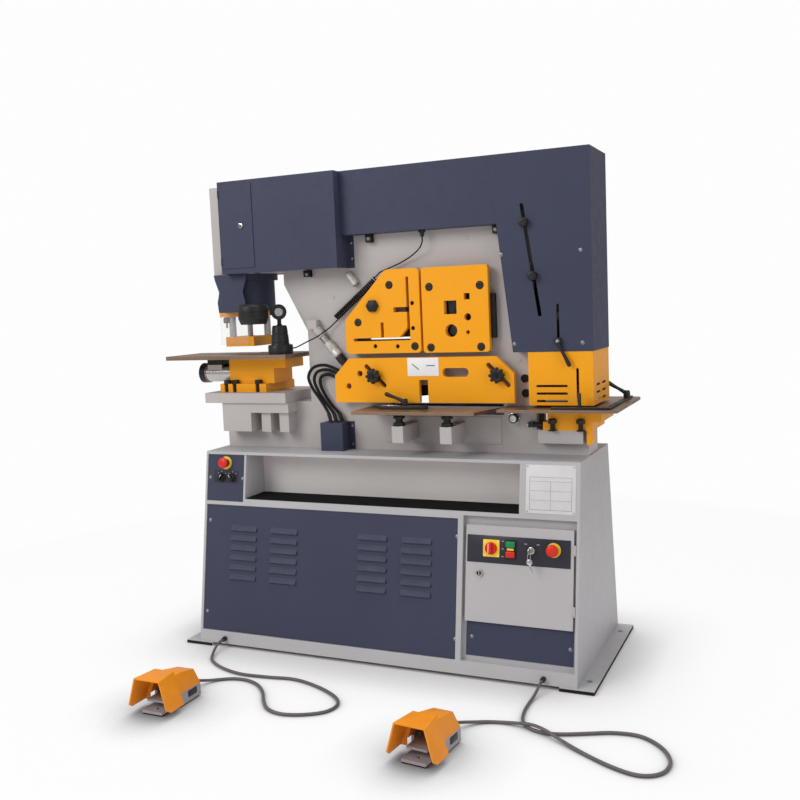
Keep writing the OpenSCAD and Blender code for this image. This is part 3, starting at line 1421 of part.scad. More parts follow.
// Electric door: folded pan with the switch panel, key barrel, stop collar and lock
module electric_door() {
  skin = 3;
  lock_x = door_x0 + 51;
  lock_s = panel_s0 - 37;
  deep = door_front - skin - 1;
  color(c_grey) on_face() difference() {
    union() {
      face_slab(door_front - skin, door_front) rect2d(door_x0, door_s0, door_x1, door_s1);
      face_slab(door_back, door_front - skin + eps) difference() {
        rect2d(door_x0, door_s0, door_x1, door_s1);
        rect2d(door_x0 + skin, door_s0 + skin, door_x1 - skin, door_s1 - skin);
      }
      face_slab(door_front - eps, panel_front) rect2d(door_x0 + 5, panel_s0, door_x1 - 10, panel_s1);
      translate([main_x, main_s, door_front]) linear_extrude(panel_t + 3) square(main_plate, center = true);
      translate([key_x, key_s, door_front]) cylinder(r = 12, h = panel_t + 8);
      translate([estop_x, estop_s, door_front]) cylinder(r = 15, h = panel_t + 10);
      translate([lock_x, lock_s, door_front - eps]) cylinder(r = 11, h = 5);
      for (s = door_hinge_s) {
        translate([door_axis_x, s, door_axis_n]) rotate([-90, 0, 0]) cylinder(r = 3.6, h = door_hinge_len);
        translate([door_x1 - 4, s, door_front - skin])
          cube([door_axis_x - door_x1 + 4, door_hinge_len, skin + 1]);
      }
    }
    for (s = door_hinge_s) translate([door_axis_x, s - 1, door_axis_n]) rotate([-90, 0, 0])
      cylinder(r = 2 + run_fit, h = door_hinge_len + 2);
    translate([main_x, main_s, deep]) cylinder(r = stem_r + stem_fit, h = 20);
    for (s = [start_s, stop_s]) translate([start_x, s, deep]) cylinder(r = stem_r + stem_fit, h = 20);
    translate([key_x, key_s, deep]) cylinder(r = stem_r + stem_fit, h = 20);
    translate([estop_x, estop_s, deep]) cylinder(r = stem_r + stem_fit, h = 20);
  }
}

// Stem of a door switch, through the door skin
module door_stem(x, s, n1) {
  translate([x, s, door_back + 2]) cylinder(r = stem_r, h = n1 - door_back - 2);
}

// Rotary main switch knob
module main_switch() {
  n0 = panel_front + 3.2;
  color(c_red) on_face() {
    door_stem(main_x, main_s, n0 + 1);
    translate([main_x, main_s, n0]) cylinder(r = 21, h = 10);
    translate([main_x - 6, main_s - 20, n0 + 9]) cube([12, 40, 12]);
  }
}

// One square push button on the panel
module push_button(s) {
  on_face() {
    door_stem(start_x, s, panel_front + button_travel);
    translate([start_x, s, panel_front + button_travel + 0.5]) linear_extrude(5)
      square([32, 21], center = true);
    translate([start_x, s, panel_front + button_travel - eps]) cylinder(r = stem_r, h = 2);
  }
}

module start_button() {
  color(c_green) push_button(start_s);
}

module stop_button() {
  color(c_red) push_button(stop_s);
}

// Key in its switch, with a second key hanging from its ring
module control_key() {
  n0 = panel_front + 8.3;
  color(c_steel) on_face() {
    door_stem(key_x, key_s, n0 + 1);
    translate([key_x - 1.2, key_s - 5, n0 + eps]) cube([2.4, 10, 14]);
    translate([key_x - 1.2, key_s, n0 + 24]) rotate([0, 90, 0]) cylinder(r = 12, h = 2.4);
    translate([key_x + 1, key_s - 84, n0 + 12]) cube([2.4, 46, 8]);
    translate([key_x - 3, key_s - 46, n0 + 14]) cube([6, 38, 3]);
  }
}

// Mushroom head of an emergency stop, face to its own stem
module estop_head(x, s, n0, stem_n) {
  on_face() translate([x, s, 0]) {
    translate([0, 0, stem_n]) cylinder(r = stem_r, h = n0 - stem_n + 1);
    translate([0, 0, n0]) cylinder(r1 = estop_d / 2 - 6, r2 = estop_d / 2, h = 8);
    translate([0, 0, n0 + 8 - eps]) cylinder(r1 = estop_d / 2, r2 = estop_d / 2 - 5, h = 9);
  }
}

module door_estop() {
  color(c_red) estop_head(estop_x, estop_s, panel_front + 10 + button_travel + 0.5, door_back + 2);
}

module control_estop() {
  color(c_red) estop_head(control_estop_x, control_estop_s,
    control_front + 10 + button_travel + 0.5, -base_wall - 14);
}

// One selector on the control plate
module selector(x) {
  n0 = control_front + 0.3;
  color(c_black) on_face() translate([x, selector_s, 0]) {
    translate([0, 0, -base_wall - 14]) cylinder(r = stem_r, h = base_wall + 15 + n0);
    translate([0, 0, n0]) cylinder(r = 14, h = 9);
    translate([-4, -14, n0 + 8]) cube([8, 28, 10]);
  }
}

module selector_left() {
  selector(selector_x[0]);
}

module selector_right() {
  selector(selector_x[1]);
}

// Places a pedal part at the left and at the right
module left_pedal() {
  translate([pedal_l[0], pedal_l[1], 0]) children();
}

module right_pedal() {
  translate([pedal_r[0], pedal_r[1], 0]) rotate([0, 0, pedal_r_turn]) children();
}

// Pedal base: sole, plate, cheeks with treadle pins and rear block
module pedal_base() {
  tongue = 40;
  block_y = treadle_y + 16;
  plate_z = sole_t + pedal_plate_t;
  box([-tongue + 2, -pedal_half + 2, 0], [tongue - 2, pedal_half - 2, sole_t]);
  box([-tongue, -pedal_half, sole_t], [tongue, pedal_half, plate_z]);
  box([-cheek_out, -8, sole_t], [cheek_out, pedal_half, plate_z]);
  for (m = [0, 1]) mirror([m, 0, 0]) {
    box([cheek_in, -8, plate_z - eps], [cheek_out, pedal_half, cheek_top]);
    translate([cheek_in - 8, treadle_y, treadle_z]) rotate([0, 90, 0]) cylinder(r = treadle_pin_r, h = 12);
  }
  box([-cheek_in - eps, block_y, plate_z - eps], [cheek_in + eps, pedal_half, cheek_top]);
}

module pedal_bases() {
  color(c_steel) {
    left_pedal() pedal_base();
    right_pedal() pedal_base();
  }
}

// A thin level slab used to shape the hood
module slab(half, y0, y1, z) {
  translate([-half, y0, z]) cube([2 * half, y1 - y0, 0.2]);
}

// Pedal hood: flat-roofed front hood with flared wings and a narrower rear body
module pedal_hood() {
  w = hood_wall;
  wing = hood_w / 2;
  brim = wing - 29;
  crown = wing - 42;
  y0 = -pedal_half - 17;
  y1 = -22;
  difference() {
    union() {
      hull() {
        slab(wing, y0 + 14, y1 - 8, hood_foot);
        slab(wing - 3, y0 - 3, y1 - 8, hood_foot + 12);
        slab(brim, y0, y0 + 2, hood_h - 0.2);
        slab(crown, y1, y1 + 2, hood_h - 0.2);
      }
      hull() {
        slab(cheek_out, -30, pedal_half, cheek_top);
        slab(crown, -20, 12, hood_h - 17);
        slab(crown - 6, 60, pedal_half - 2, hood_h - 35);
      }
    }
    hull() {
      slab(wing - w, y0 - 8, y1 - 8 - w, 0);
      slab(wing - w, y0 - 8, y1 - 8 - w, hood_foot);
      slab(brim - w, y0 - 8, y0 + 2, hood_h - w);
      slab(crown - w, y1 - 2 - w, y1 - w, hood_h - w);
    }
    box([-cheek_out - 1, -40, -1], [cheek_out + 1, 10, cheek_top]);
    hull() {
      slab(cheek_out - w, -40, pedal_half - w, cheek_top - 1);
      slab(crown - w, -20, 12 - w, hood_h - 17 - w);
      slab(crown - 6 - w, 60, pedal_half - 2 - w, hood_h - 35 - w);
    }
  }
}

module pedal_hoods() {
  color(c_orange) {
    left_pedal() pedal_hood();
    right_pedal() pedal_hood();
  }
}

// Pedal treadle on its two pins
module treadle() {
  half = cheek_in - 10;
  gap = 0.5;
  front = -pedal_half + 22;
  difference() {
    union() {
      box([-half, front, treadle_z + 2], [half, treadle_y, treadle_z + 9]);
      translate([-cheek_in + gap, treadle_y, treadle_z]) rotate([0, 90, 0])
        cylinder(r = 9, h = 2 * (cheek_in - gap));
    }
    for (m = [0, 1]) mirror([m, 0, 0]) translate([cheek_in - 9, treadle_y, treadle_z]) rotate([0, 90, 0])
      cylinder(r = treadle_pin_r + run_fit, h = 12);
  }
}

module treadle_left() {
  color(c_black) left_pedal() treadle();
}

module treadle_right() {
  color(c_black) right_pedal() treadle();
}

// Pedal cables lying on the floor
module pedal_cord_left() {
  color(c_black) tube(left_route, 3, cable_r, 8, [0, 0, 1]);
}

module pedal_cord_right() {
  color(c_black) tube(right_route, 3, cable_r, 8, [0, 0, 1]);
}

// Glands where the cables leave the base, the pedals and the middle cover
module cord_glands() {
  color(c_black) {
    difference() {
      for (x = base_gland_x) ycyl([x, base_gland_z], gland_y - gland_len, gland_y + gland_r, gland_r);
      base_prism(0);
    }
    left_pedal() ycyl([0, pedal_gland_z], pedal_half, pedal_half + gland_len, gland_r);
    right_pedal() ycyl([0, pedal_gland_z], pedal_half, pedal_half + gland_len, gland_r);
    translate(lamp_gland) cylinder(r = 8, h = mid_z - lamp_gland[2] + 14);
    translate([lamp_gland[0], lamp_gland[1], mid_z - 9]) cylinder(r = 12, h = 9);
  }
}

base_cabinet();
base_covers();
machine_frame();
punch_cover();
punch_cover_door();
mid_cover();
tall_cover();
punch_cylinder();
cylinder_nose();
ram_guard();
punch_ram();
stripper();
punch_guard();
punch_table();
die_bolster();
table_bar();
angle_plate();
bar_plate();
frame_bolts();
flat_shear_plate();
star_knob_left();
star_knob_right();
shear_table();
shear_gauge();
fixed_blades();
shear_beam();
moving_blades();
pivot_pin();
main_cylinder();
cylinder_rod();
notch_guard();
notch_table();
notch_die();
notch_gauge();
notch_stop();
stroke_knob_upper();
stroke_knob_lower();
hose_box();
hoses();
lamp_base();
lamp_head();
lamp_cord();
lamp_curl();
power_pack();
electric_door();
main_switch();
start_button();
stop_button();
control_key();
door_estop();
control_estop();
selector_left();
selector_right();
pedal_bases();
pedal_hoods();
treadle_left();
treadle_right();
pedal_cord_left();
pedal_cord_right();
cord_glands();
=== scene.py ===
"""Hydraulic ironworker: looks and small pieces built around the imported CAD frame. Lengths below are millimetres."""
from math import atan, atan2, cos, pi, radians, sin

import bmesh
import bpy
from mathutils import Matrix, Vector


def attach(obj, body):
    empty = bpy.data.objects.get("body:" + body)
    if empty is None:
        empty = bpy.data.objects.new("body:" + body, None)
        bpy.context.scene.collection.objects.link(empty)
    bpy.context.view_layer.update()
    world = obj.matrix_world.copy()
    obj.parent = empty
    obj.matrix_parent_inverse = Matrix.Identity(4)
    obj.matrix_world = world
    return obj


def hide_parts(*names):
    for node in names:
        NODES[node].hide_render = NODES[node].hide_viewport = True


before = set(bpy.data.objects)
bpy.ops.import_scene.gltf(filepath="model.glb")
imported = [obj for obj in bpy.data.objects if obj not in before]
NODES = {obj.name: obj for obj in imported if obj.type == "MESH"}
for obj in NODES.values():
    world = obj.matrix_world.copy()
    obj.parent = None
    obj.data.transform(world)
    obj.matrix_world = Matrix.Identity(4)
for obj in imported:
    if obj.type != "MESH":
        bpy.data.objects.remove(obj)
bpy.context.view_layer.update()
K = 0.001
scene = bpy.context.scene
X, Y, Z = Vector((1, 0, 0)), Vector((0, 1, 0)), Vector((0, 0, 1))

# ---- camera, fitted to the photo
YAW, PITCH, ROLL = (radians(a) for a in (-24.416, 5.839, 2.416))
CAM_AT, FOCAL_PX, PHOTO_PX, SENSOR_MM = (1.50098, -3.29714, 1.29937), 951.4, 800, 36
right = Vector((cos(YAW), -sin(YAW), 0))
fwd = Vector((sin(YAW) * cos(PITCH), cos(YAW) * cos(PITCH), -sin(PITCH)))
down = fwd.cross(right)
cam_x = right * cos(ROLL) + down * sin(ROLL)
cam_y = right * sin(ROLL) - down * cos(ROLL)
cam_data = bpy.data.cameras.new("camera")
cam_data.sensor_width = SENSOR_MM
cam_data.lens = FOCAL_PX / PHOTO_PX * SENSOR_MM
cam_data.clip_end = 60
cam = bpy.data.objects.new("camera", cam_data)
scene.collection.objects.link(cam)
cam.matrix_world = Matrix([(cam_x[i], cam_y[i], -fwd[i], CAM_AT[i]) for i in range(3)] + [(0, 0, 0, 1)])
scene.camera = cam


# ---- node materials
def lin(rgb):
    """Linear colour of an 8-bit sRGB colour."""
    return tuple(v / 255 / 12.92 if v <= 10.3 else ((v / 255 + 0.055) / 1.055) ** 2.4 for v in rgb)


def tint(rgb, f):
    return tuple(min(1.0, c * f) for c in rgb)


class Tree:
    """Builds one node tree; a value is a number, a tuple or another node's output."""

    def __init__(self, owner, out):
        owner.use_nodes = True
        self.t = owner.node_tree
        self.t.nodes.clear()
        self.out = self.node(out)

    def feed(self, v, sock):
        if isinstance(v, bpy.types.NodeSocket):
            self.t.links.new(v, sock)
        elif isinstance(v, (tuple, list)):
            sock.default_value = (*v, 1.0) if len(v) == 3 and len(sock.default_value) == 4 else v
        elif v is not None:
            sock.default_value = v

    def node(self, kind, feeds=(), **props):
        n = self.t.nodes.new("ShaderNode" + kind)
        for key, val in props.items():
            setattr(n, key, val)
        for key, val in dict(feeds).items():
            self.feed(val, n.inputs[key])
        return n

    def ramp(self, v, a, b, lo=0.0, hi=1.0, kind="LINEAR"):
        ends = {"Value": v, "From Min": a, "From Max": b, "To Min": lo, "To Max": hi}
        return self.node("MapRange", ends, interpolation_type=kind).outputs["Result"]

    def op(self, kind, a, b=0.0):
        return self.node("Math", {0: a, 1: b}, operation=kind).outputs[0]

    def vec(self, kind, a, b=(0, 0, 0)):
        n = self.node("VectorMath", {0: a, 1: b}, operation=kind)
        return n.outputs["Value"] if kind in ("DOT_PRODUCT", "LENGTH") else n.outputs[0]

    def mix(self, fac, a, b):
        return self.node("Mix", {0: fac, 6: a, 7: b}, data_type="RGBA").outputs[2]

    def show(self, fac, a, b):
        """Mix two shaders into the output."""
        self.feed(self.node("MixShader", {0: fac, 1: a, 2: b}).outputs[0], self.out.inputs[0])


class Net(Tree):
    """One principled material, in object coordinates."""

    def __init__(self, name):
        self.m = bpy.data.materials.new(name)
        super().__init__(self.m, "OutputMaterial")
        self.b = self.node("BsdfPrincipled")
        self.feed(self.b.outputs[0], self.out.inputs[0])
        self.pos = self.node("TexCoord").outputs["Object"]

    def noise(self, scale, detail=3.0, rough=0.5, stretch=None):
        vec = self.pos
        if stretch:
            vec = self.node("Mapping", {"Vector": vec, "Scale": stretch}).outputs[0]
        feeds = {"Vector": vec, "Scale": scale, "Detail": detail, "Roughness": rough}
        return self.node("TexNoise", feeds).outputs["Fac"]

    def inside(self, lo, hi):
        """1 inside a box given in millimetres; None leaves that side open."""
        f = None
        for axis, a, b in zip(self.node("SeparateXYZ", {0: self.pos}).outputs, lo, hi):
            for limit, kind in ((a, "GREATER_THAN"), (b, "LESS_THAN")):
                if limit is not None:
                    g = self.op(kind, axis, limit * K)
                    f = g if f is None else self.op("MULTIPLY", f, g)
        return f

    def near_axis(self, at, axis, r):
        """1 within r of a line through at."""
        off = self.vec("SUBTRACT", self.pos, tuple(c * K for c in at))
        along = self.vec("DOT_PRODUCT", off, tuple(axis))
        sq = self.op("SUBTRACT", self.vec("DOT_PRODUCT", off, off), self.op("MULTIPLY", along, along))
        return self.op("LESS_THAN", sq, (r * K) ** 2)

    def bevel(self, mm):
        return self.node("Bevel", {"Radius": mm * K}, samples=4).outputs[0]

    def edge(self, bev):
        normal = self.node("NewGeometry").outputs["Normal"]
        return self.ramp(self.vec("DOT_PRODUCT", bev, normal), 0.99, 0.93)

    def bump(self, height, strength, depth, normal):
        feeds = {"Strength": strength, "Distance": depth * K, "Height": height, "Normal": normal}
        return self.node("Bump", feeds).outputs[0]

    def done(self, color, rough, normal=None, metal=0.0, **extra):
        feeds = {"Base Color": color, "Roughness": rough, "Metallic": metal, "Normal": normal}
        feeds.update((key.replace("_", " "), val) for key, val in extra.items())
        for key, val in feeds.items():
            self.feed(val, self.b.inputs[key])
        return self.m


def paint_parts(n, rgb, var, wear, wear_rgb, rough, peel, peel_depth, edge_mm):
    """Colour, roughness and normal of a sprayed paint with faint smudges and lightly rubbed edges."""
    base = lin(rgb)
    big = n.noise(2.3, 3)
    small = n.noise(34, 5, 0.6)
    col = n.mix(n.ramp(big, 0.35, 0.65), tint(base, 1 - var), tint(base, 1 + var))
    col = n.mix(n.ramp(small, 0.56, 0.8, 0, 0.4), col, tint(base, 1 - 2.4 * var))
    bev = n.bevel(edge_mm)
    rub = n.op("MULTIPLY", n.edge(bev), n.ramp(n.noise(75, 6, 0.65), 0.47, 0.62, 0, wear))
    col = n.mix(rub, col, lin(wear_rgb))
    r = n.ramp(small, 0.3, 0.7, rough - 0.05, rough + 0.07)
    return col, r, n.bump(n.noise(peel, 2), 0.35, peel_depth, bev)


def paint(name, rgb, var=0.05, wear=0.35, wear_rgb=(205, 200, 196), rough=0.42, peel=420, peel_depth=0.12,
          edge_mm=1.3, gloss=0.25):
    n = Net(name)
    col, r, nor = paint_parts(n, rgb, var, wear, wear_rgb, rough, peel, peel_depth, edge_mm)
    return n.done(col, r, nor, Specular_IOR_Level=gloss)


def steel_parts(n, rgb, rough, stretch, film, film_rgb, edge_mm):
    """Machined steel: fine tool lines along one direction under a thin brownish film, with a painted highlight along
    the edges.
    """
    base = lin(rgb)
    lines = n.noise(1.0, 3, 0.6, stretch)
    cloud = n.noise(9, 5, 0.62)
    col = n.mix(n.ramp(lines, 0.3, 0.7), tint(base, 0.86), tint(base, 1.12))
    col = n.mix(n.ramp(cloud, 0.42, 0.72, 0, film), col, lin(film_rgb))
    bev = n.bevel(edge_mm)
    # every edge is drawn lighter, a painted highlight along the edges
    col = n.mix(n.op("MULTIPLY", n.edge(bev), 0.5), col, tint(base, 1.5))
    r = n.op("ADD", n.ramp(lines, 0.3, 0.7, rough - 0.07, rough + 0.07), n.ramp(cloud, 0.4, 0.75, 0, 0.16))
    return col, r, n.bump(lines, 0.25, 0.05, bev)


def steel(name, rgb, rough=0.34, stretch=(4, 420, 420), film=0.3, film_rgb=(96, 78, 66), edge_mm=0.9, metal=0.95):
    n = Net(name)
    col, r, nor = steel_parts(n, rgb, rough, stretch, film, film_rgb, edge_mm)
    return n.done(col, r, nor, metal)


def plastic(name, rgb, rough=0.45, grain=900, depth=0.06, var=0.12, edge_mm=0.8, gloss=0.3):
    """Moulded plastic or rubber with a fine grain, a little grime and a painted highlight along the edges."""
    n = Net(name)
    base = lin(rgb)
    cloud = n.noise(26, 4, 0.6)
    col = n.mix(n.ramp(cloud, 0.35, 0.7), tint(base, 1 - var), tint(base, 1 + var))
    bev = n.bevel(edge_mm)
    # every edge is drawn lighter, a painted highlight along the edges
    col = n.mix(n.op("MULTIPLY", n.edge(bev), 0.3), col, tint(base, 1.9))
    return n.done(col, n.ramp(cloud, 0.3, 0.7, rough - 0.06, rough + 0.08), n.bump(n.noise(grain, 2), 0.4, depth, bev),
                  Specular_IOR_Level=gloss)


def chrome(name, rgb=(205, 203, 200), rough=0.2):
    n = Net(name)
    base = lin(rgb)
    cloud = n.noise(60, 4, 0.6)
    bev = n.bevel(0.5)
    col = n.mix(n.ramp(cloud, 0.4, 0.75), base, tint(base, 0.82))
    r = n.ramp(cloud, 0.3, 0.7, rough - 0.05, rough + 0.1)
    return n.done(col, r, n.bump(n.noise(350, 2), 0.15, 0.03, bev), 1.0)


GREY, BLUE, YELLOW, ORANGE = (178, 173, 172), (58, 62, 82), (236, 158, 16), (228, 140, 26)
m_grey = paint("grey_enamel", GREY, var=0.03, wear=0.25, wear_rgb=(222, 219, 217), rough=0.4)
m_door = paint("door_enamel", (176, 173, 175), var=0.025, wear=0.25, wear_rgb=(224, 221, 220), rough=0.38)
m_blue = paint("blue_powder_coat", BLUE, var=0.05, wear=0.3, wear_rgb=(96, 102, 124), rough=0.52, peel=1300,
               peel_depth=0.09, gloss=0.2)
m_yellow = paint("yellow_enamel", YELLOW, var=0.035, wear=0.45, wear_rgb=(248, 196, 84), rough=0.36, edge_mm=1.6)
m_orange = plastic("orange_plastic", ORANGE, rough=0.4, grain=1100, depth=0.05, var=0.05, edge_mm=1.2)
m_black = plastic("black_plastic", (30, 30, 33), rough=0.42)
m_dark = steel("black_oxide", (58, 56, 56), rough=0.42, stretch=(90, 90, 90), film=0.35, film_rgb=(38, 34, 32),
               metal=0.8)
m_rubber = plastic("black_rubber", (26, 25, 27), rough=0.68, grain=1400, depth=0.1, gloss=0.2)
# black ribbed rubber, made darker still as painted shade inside the tray
m_mat_shaded = plastic("ribbed_rubber_painted_shade", (15, 14, 16), rough=0.75, grain=1400, depth=0.1, gloss=0.12)
m_cable = plastic("grey_cable", (96, 91, 92), rough=0.5, grain=1600, depth=0.05, var=0.09)
m_red = plastic("red_plastic", (206, 40, 28), rough=0.32, grain=700, depth=0.03, var=0.06)
m_green = plastic("green_plastic", (26, 132, 78), rough=0.32, grain=700, depth=0.03, var=0.06)
m_lamp_yellow = plastic("signal_yellow", (240, 200, 52), rough=0.34, grain=700, depth=0.03, var=0.05)
m_white = plastic("white_sheet", (232, 232, 232), rough=0.5, grain=900, depth=0.02, var=0.02)
m_plate = plastic("anodised_plate", (204, 203, 205), rough=0.42, grain=600, depth=0.02, var=0.03)
m_ink = plastic("dark_print", (70, 72, 80), rough=0.55, grain=900, depth=0.01, var=0.05)
m_panel = plastic("panel_film", (44, 43, 54), rough=0.4, grain=1300, depth=0.03, var=0.06)
m_chrome = chrome("bright_plated")
m_zinc = chrome("zinc_plated", (150, 150, 152), 0.36)
m_table = steel("table_steel", (146, 126, 110), rough=0.36, stretch=(5, 380, 380), film=0.55, film_rgb=(114, 84, 60))
m_turned = steel("turned_sleeve", (196, 193, 190), rough=0.42, stretch=(70, 70, 70), film=0.12,
                 film_rgb=(150, 140, 132), metal=0.55)
m_blade = steel("ground_steel", (168, 162, 156), rough=0.28, stretch=(380, 6, 380), film=0.3)
# blade steel drawn darker than bright steel, painted shade in the shear slots
m_shaded_shear = steel("blade_steel_painted_shade", (74, 71, 70), rough=0.46, stretch=(380, 6, 380), film=0.4, film_rgb=(48, 42, 38))
m_beam = steel("flame_cut_steel", (70, 66, 64), rough=0.5, stretch=(60, 300, 60), film=0.6, film_rgb=(50, 42, 38))
m_cast = paint("cast_housing", (142, 141, 143), var=0.07, wear=0.3, wear_rgb=(190, 188, 186), rough=0.5, peel=260,
               peel_depth=0.3)
m_brass = steel("brass_tip", (192, 140, 84), rough=0.32, stretch=(200, 200, 30), film=0.3, film_rgb=(120, 78, 44))


# ---- mesh helpers
SHARP = radians(38)


def put(name, bm, mats, body="machine", hide=()):
    bm.transform(Matrix.Scale(K, 4))
    bmesh.ops.recalc_face_normals(bm, faces=bm.faces[:])
    me = bpy.data.meshes.new(name)
    bm.to_mesh(me)
    bm.free()
    for m in mats if isinstance(mats, (list, tuple)) else [mats]:
        me.materials.append(m)
    me.polygons.foreach_set("use_smooth", [True] * len(me.polygons))
    me.set_sharp_from_angle(angle=SHARP)
    ob = bpy.data.objects.new(name, me)
    scene.collection.objects.link(ob)
    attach(ob, body)
    if hide:
        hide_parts(*hide)


def basis(axis, up=None):
    z = Vector(axis).normalized()
    ref = Vector(up) if up is not None else (Z if abs(z.z) < 0.9 else X)
    x = ref.cross(z).normalized()
    return x, z.cross(x), z


def hexed(a):
    return cos(pi / 6) / cos((a % (pi / 3)) - pi / 6)


def lathe(bm, prof, at, axis, seg=40, mi=0):
    """Turned form: prof is (radius, height[, shape]) along the axis; shape(angle) scales that ring's radius."""
    x, y, z = basis(axis)
    at = Vector(at)
    rings = []
    for r, h, *shape in prof:
        if r < 1e-6:
            rings.append([bm.verts.new(at + z * h)])
            continue
        ring = []
        for i in range(seg):
            a = 2 * pi * i / seg
            k = r * (shape[0](a) if shape else 1.0)
            ring.append(bm.verts.new(at + z * h + x * (k * cos(a)) + y * (k * sin(a))))
        rings.append(ring)
    for a, b in zip(rings, rings[1:]):
        for i in range(seg):
            j = (i + 1) % seg
            vs = [a[0], b[i], b[j]] if len(a) == 1 else [a[i], a[j], b[0]] if len(b) == 1 else [a[i], a[j], b[j], b[i]]
            bm.faces.new(vs).material_index = mi


def round_edges(bm, edges, mm, seg):
    bmesh.ops.bevel(bm, geom=edges, offset=mm, segments=seg, profile=0.5, affect="EDGES", clamp_overlap=True,
                    material=-1)


def prism(bm, pts, o, u, v, d, bevel=0.0, mi=0):
    """Outline pts in the plane (u, v) at o, raised by d along u x v, with its sharp edges rounded."""
    o, u, v = Vector(o), Vector(u), Vector(v)
    n = u.cross(v).normalized()
    low = [bm.verts.new(o + u * a + v * b) for a, b in pts]
    high = [bm.verts.new(q.co + n * d) for q in low]
    faces = [bm.faces.new(low[::-1]), bm.faces.new(high)]
    for i in range(len(pts)):
        j = (i + 1) % len(pts)
        faces.append(bm.faces.new([low[i], low[j], high[j], high[i]]))
    for f in faces:
        f.material_index = mi
    if bevel:
        bm.normal_update()
        round_edges(bm, [e for e in {e for f in faces for e in f.edges} if e.calc_face_angle(0) > 0.45], bevel, 2)


def rect(x0, y0, x1, y1):
    return [(x0, y0), (x1, y0), (x1, y1), (x0, y1)]


def oval(x, y, rx, ry, k):
    return [(x + rx * cos(a), y + ry * sin(a)) for a in (2 * pi * i / k for i in range(k))]


def rrect(x0, y0, x1, y1, r, k=5):
    pts = []
    for cx, cy, a0 in ((x1 - r, y0 + r, -90), (x1 - r, y1 - r, 0), (x0 + r, y1 - r, 90), (x0 + r, y0 + r, 180)):
        for i in range(k + 1):
            a = radians(a0 + 90 * i / k)
            pts.append((cx + r * cos(a), cy + r * sin(a)))
    return pts


def block(bm, lo, hi, bevel=1.0, mi=0):
    prism(bm, rect(lo[0], lo[1], hi[0], hi[1]), (0, 0, lo[2]), X, Y, hi[2] - lo[2], bevel, mi)


def smooth_path(p, k):
    """Catmull-Rom points through p, as the CAD sweeps its tubes."""
    p = [Vector(q) for q in p]
    n = len(p) - 1
    out = []
    for i in range(n):
        a, b, c, d = p[max(i - 1, 0)], p[i], p[i + 1], p[min(i + 2, n)]
        for j in range(k):
            t = j / k
            out.append(0.5 * (2 * b + (c - a) * t + (2 * a - 5 * b + 4 * c - d) * t * t
                              + (3 * b - a - 3 * c + d) * t * t * t))
    return out + [p[n]]


def sweep(bm, pts, radius, seg=14, mi=0, ends=True):
    """Round bar along pts; radius is a number or a function of the share of the way."""
    pts = [Vector(p) for p in pts]
    n = len(pts)
    t0 = (pts[1] - pts[0]).normalized()
    x, y, _ = basis(t0)
    around = [2 * pi * k / seg for k in range(seg)]
    rings = []
    for i, p in enumerate(pts):
        t = (pts[min(i + 1, n - 1)] - pts[max(i - 1, 0)]).normalized()
        q = t0.rotation_difference(t)
        x, y, t0 = q @ x, q @ y, t
        r = radius(i / (n - 1)) if callable(radius) else radius
        rings.append([bm.verts.new(p + x * (r * cos(a)) + y * (r * sin(a))) for a in around])
    for a, b in zip(rings, rings[1:]):
        for i in range(seg):
            j = (i + 1) % seg
            bm.faces.new([a[i], a[j], b[j], b[i]]).material_index = mi
    if ends:
        bm.faces.new(rings[0][::-1]).material_index = mi
        bm.faces.new(rings[-1]).material_index = mi


def curve(name, pts, r, mat, hide):
    cu = bpy.data.curves.new(name, "CURVE")
    cu.dimensions = "3D"
    cu.bevel_depth = r * K
    cu.bevel_resolution = 4
    cu.use_fill_caps = True
    sp = cu.splines.new("POLY")
    sp.points.add(len(pts) - 1)
    for q, p in zip(sp.points, pts):
        q.co = (*(p * K), 1)
    sp.use_smooth = True
    cu.materials.append(mat)
    ob = bpy.data.objects.new(name, cu)
    scene.collection.objects.link(ob)
    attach(ob, "machine")
    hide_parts(*hide)
    return ob


# sloping front of the base: x along the length, s up the slope, n out of the face
LEAN = atan(120 / 734)
FU, FN = Vector((0, sin(LEAN), cos(LEAN))), Vector((0, -cos(LEAN), sin(LEAN)))
F0 = Vector((0, -332, 12))


def F(x, s, n=0.0):
    return F0 + X * x + FU * s + FN * n


def face_plate(bm, pts, n0, n1, bevel=0.4, mi=0):
    prism(bm, pts, F0 + FN * n0, X, FU, n1 - n0, bevel, mi)


def front_plate(bm, pts, y, t, bevel=0.4, mi=0):
    """Plate in X and Z whose back is at y and which stands out by t to the front."""
    prism(bm, pts, (0, y, 0), X, Z, t, bevel, mi)


# ---- cords; a cable point without a height lies on the floor
CABLE_R, FLOOR_Z = 5.0, 5.2
LEFT = [(-633, -350.77, 31.74), (-633, -363, 31.4), (-632.6, -381, 27.5), (-630, -404, 17.5), (-620, -434, 8.5),
        (-592, -478), (-519, -526), (-417, -557), (-305, -552), (-200, -540), (-93, -570), (0, -622), (42, -676),
        (34, -735), (-20, -778), (-94, -800), (-158, -782), (-206, -732), (-248, -672), (-298, -624), (-355, -600),
        (-408, -602), (-450, -622), (-478, -650, 8.6), (-493, -680, 17.5), (-499.2, -708, 27.6), (-500, -728, 30)]
RIGHT = [(636, -350.77, 31.74), (636, -363, 31.4), (635, -381, 27.5), (632.5, -404, 17.5), (629, -434, 8.5),
         (627, -470), (630, -530), (642, -590), (668, -632), (704, -653), (750, -656), (800, -642), (860, -616),
         (925, -590), (1001, -588), (1066, -636), (1102, -704), (1102, -766), (1076, -806), (1027, -820), (955, -796),
         (871, -748), (795, -700, 9), (735, -664, 16.4), (685, -641, 16.4), (635, -630, 9), (590, -630), (546, -641),
         (509, -664, 8.6), (482, -696, 17.5), (465.5, -730, 27.6), (459.23, -756.64, 30)]
cables = []
for name, route in (("pedal_cable_left", LEFT), ("pedal_cable_right", RIGHT)):
    pts = smooth_path([(*p, FLOOR_Z)[:3] for p in route], 8)
    ob = curve(name, pts, CABLE_R, m_cable, (name.replace("cable", "cord"),))
    cables.append(pts)

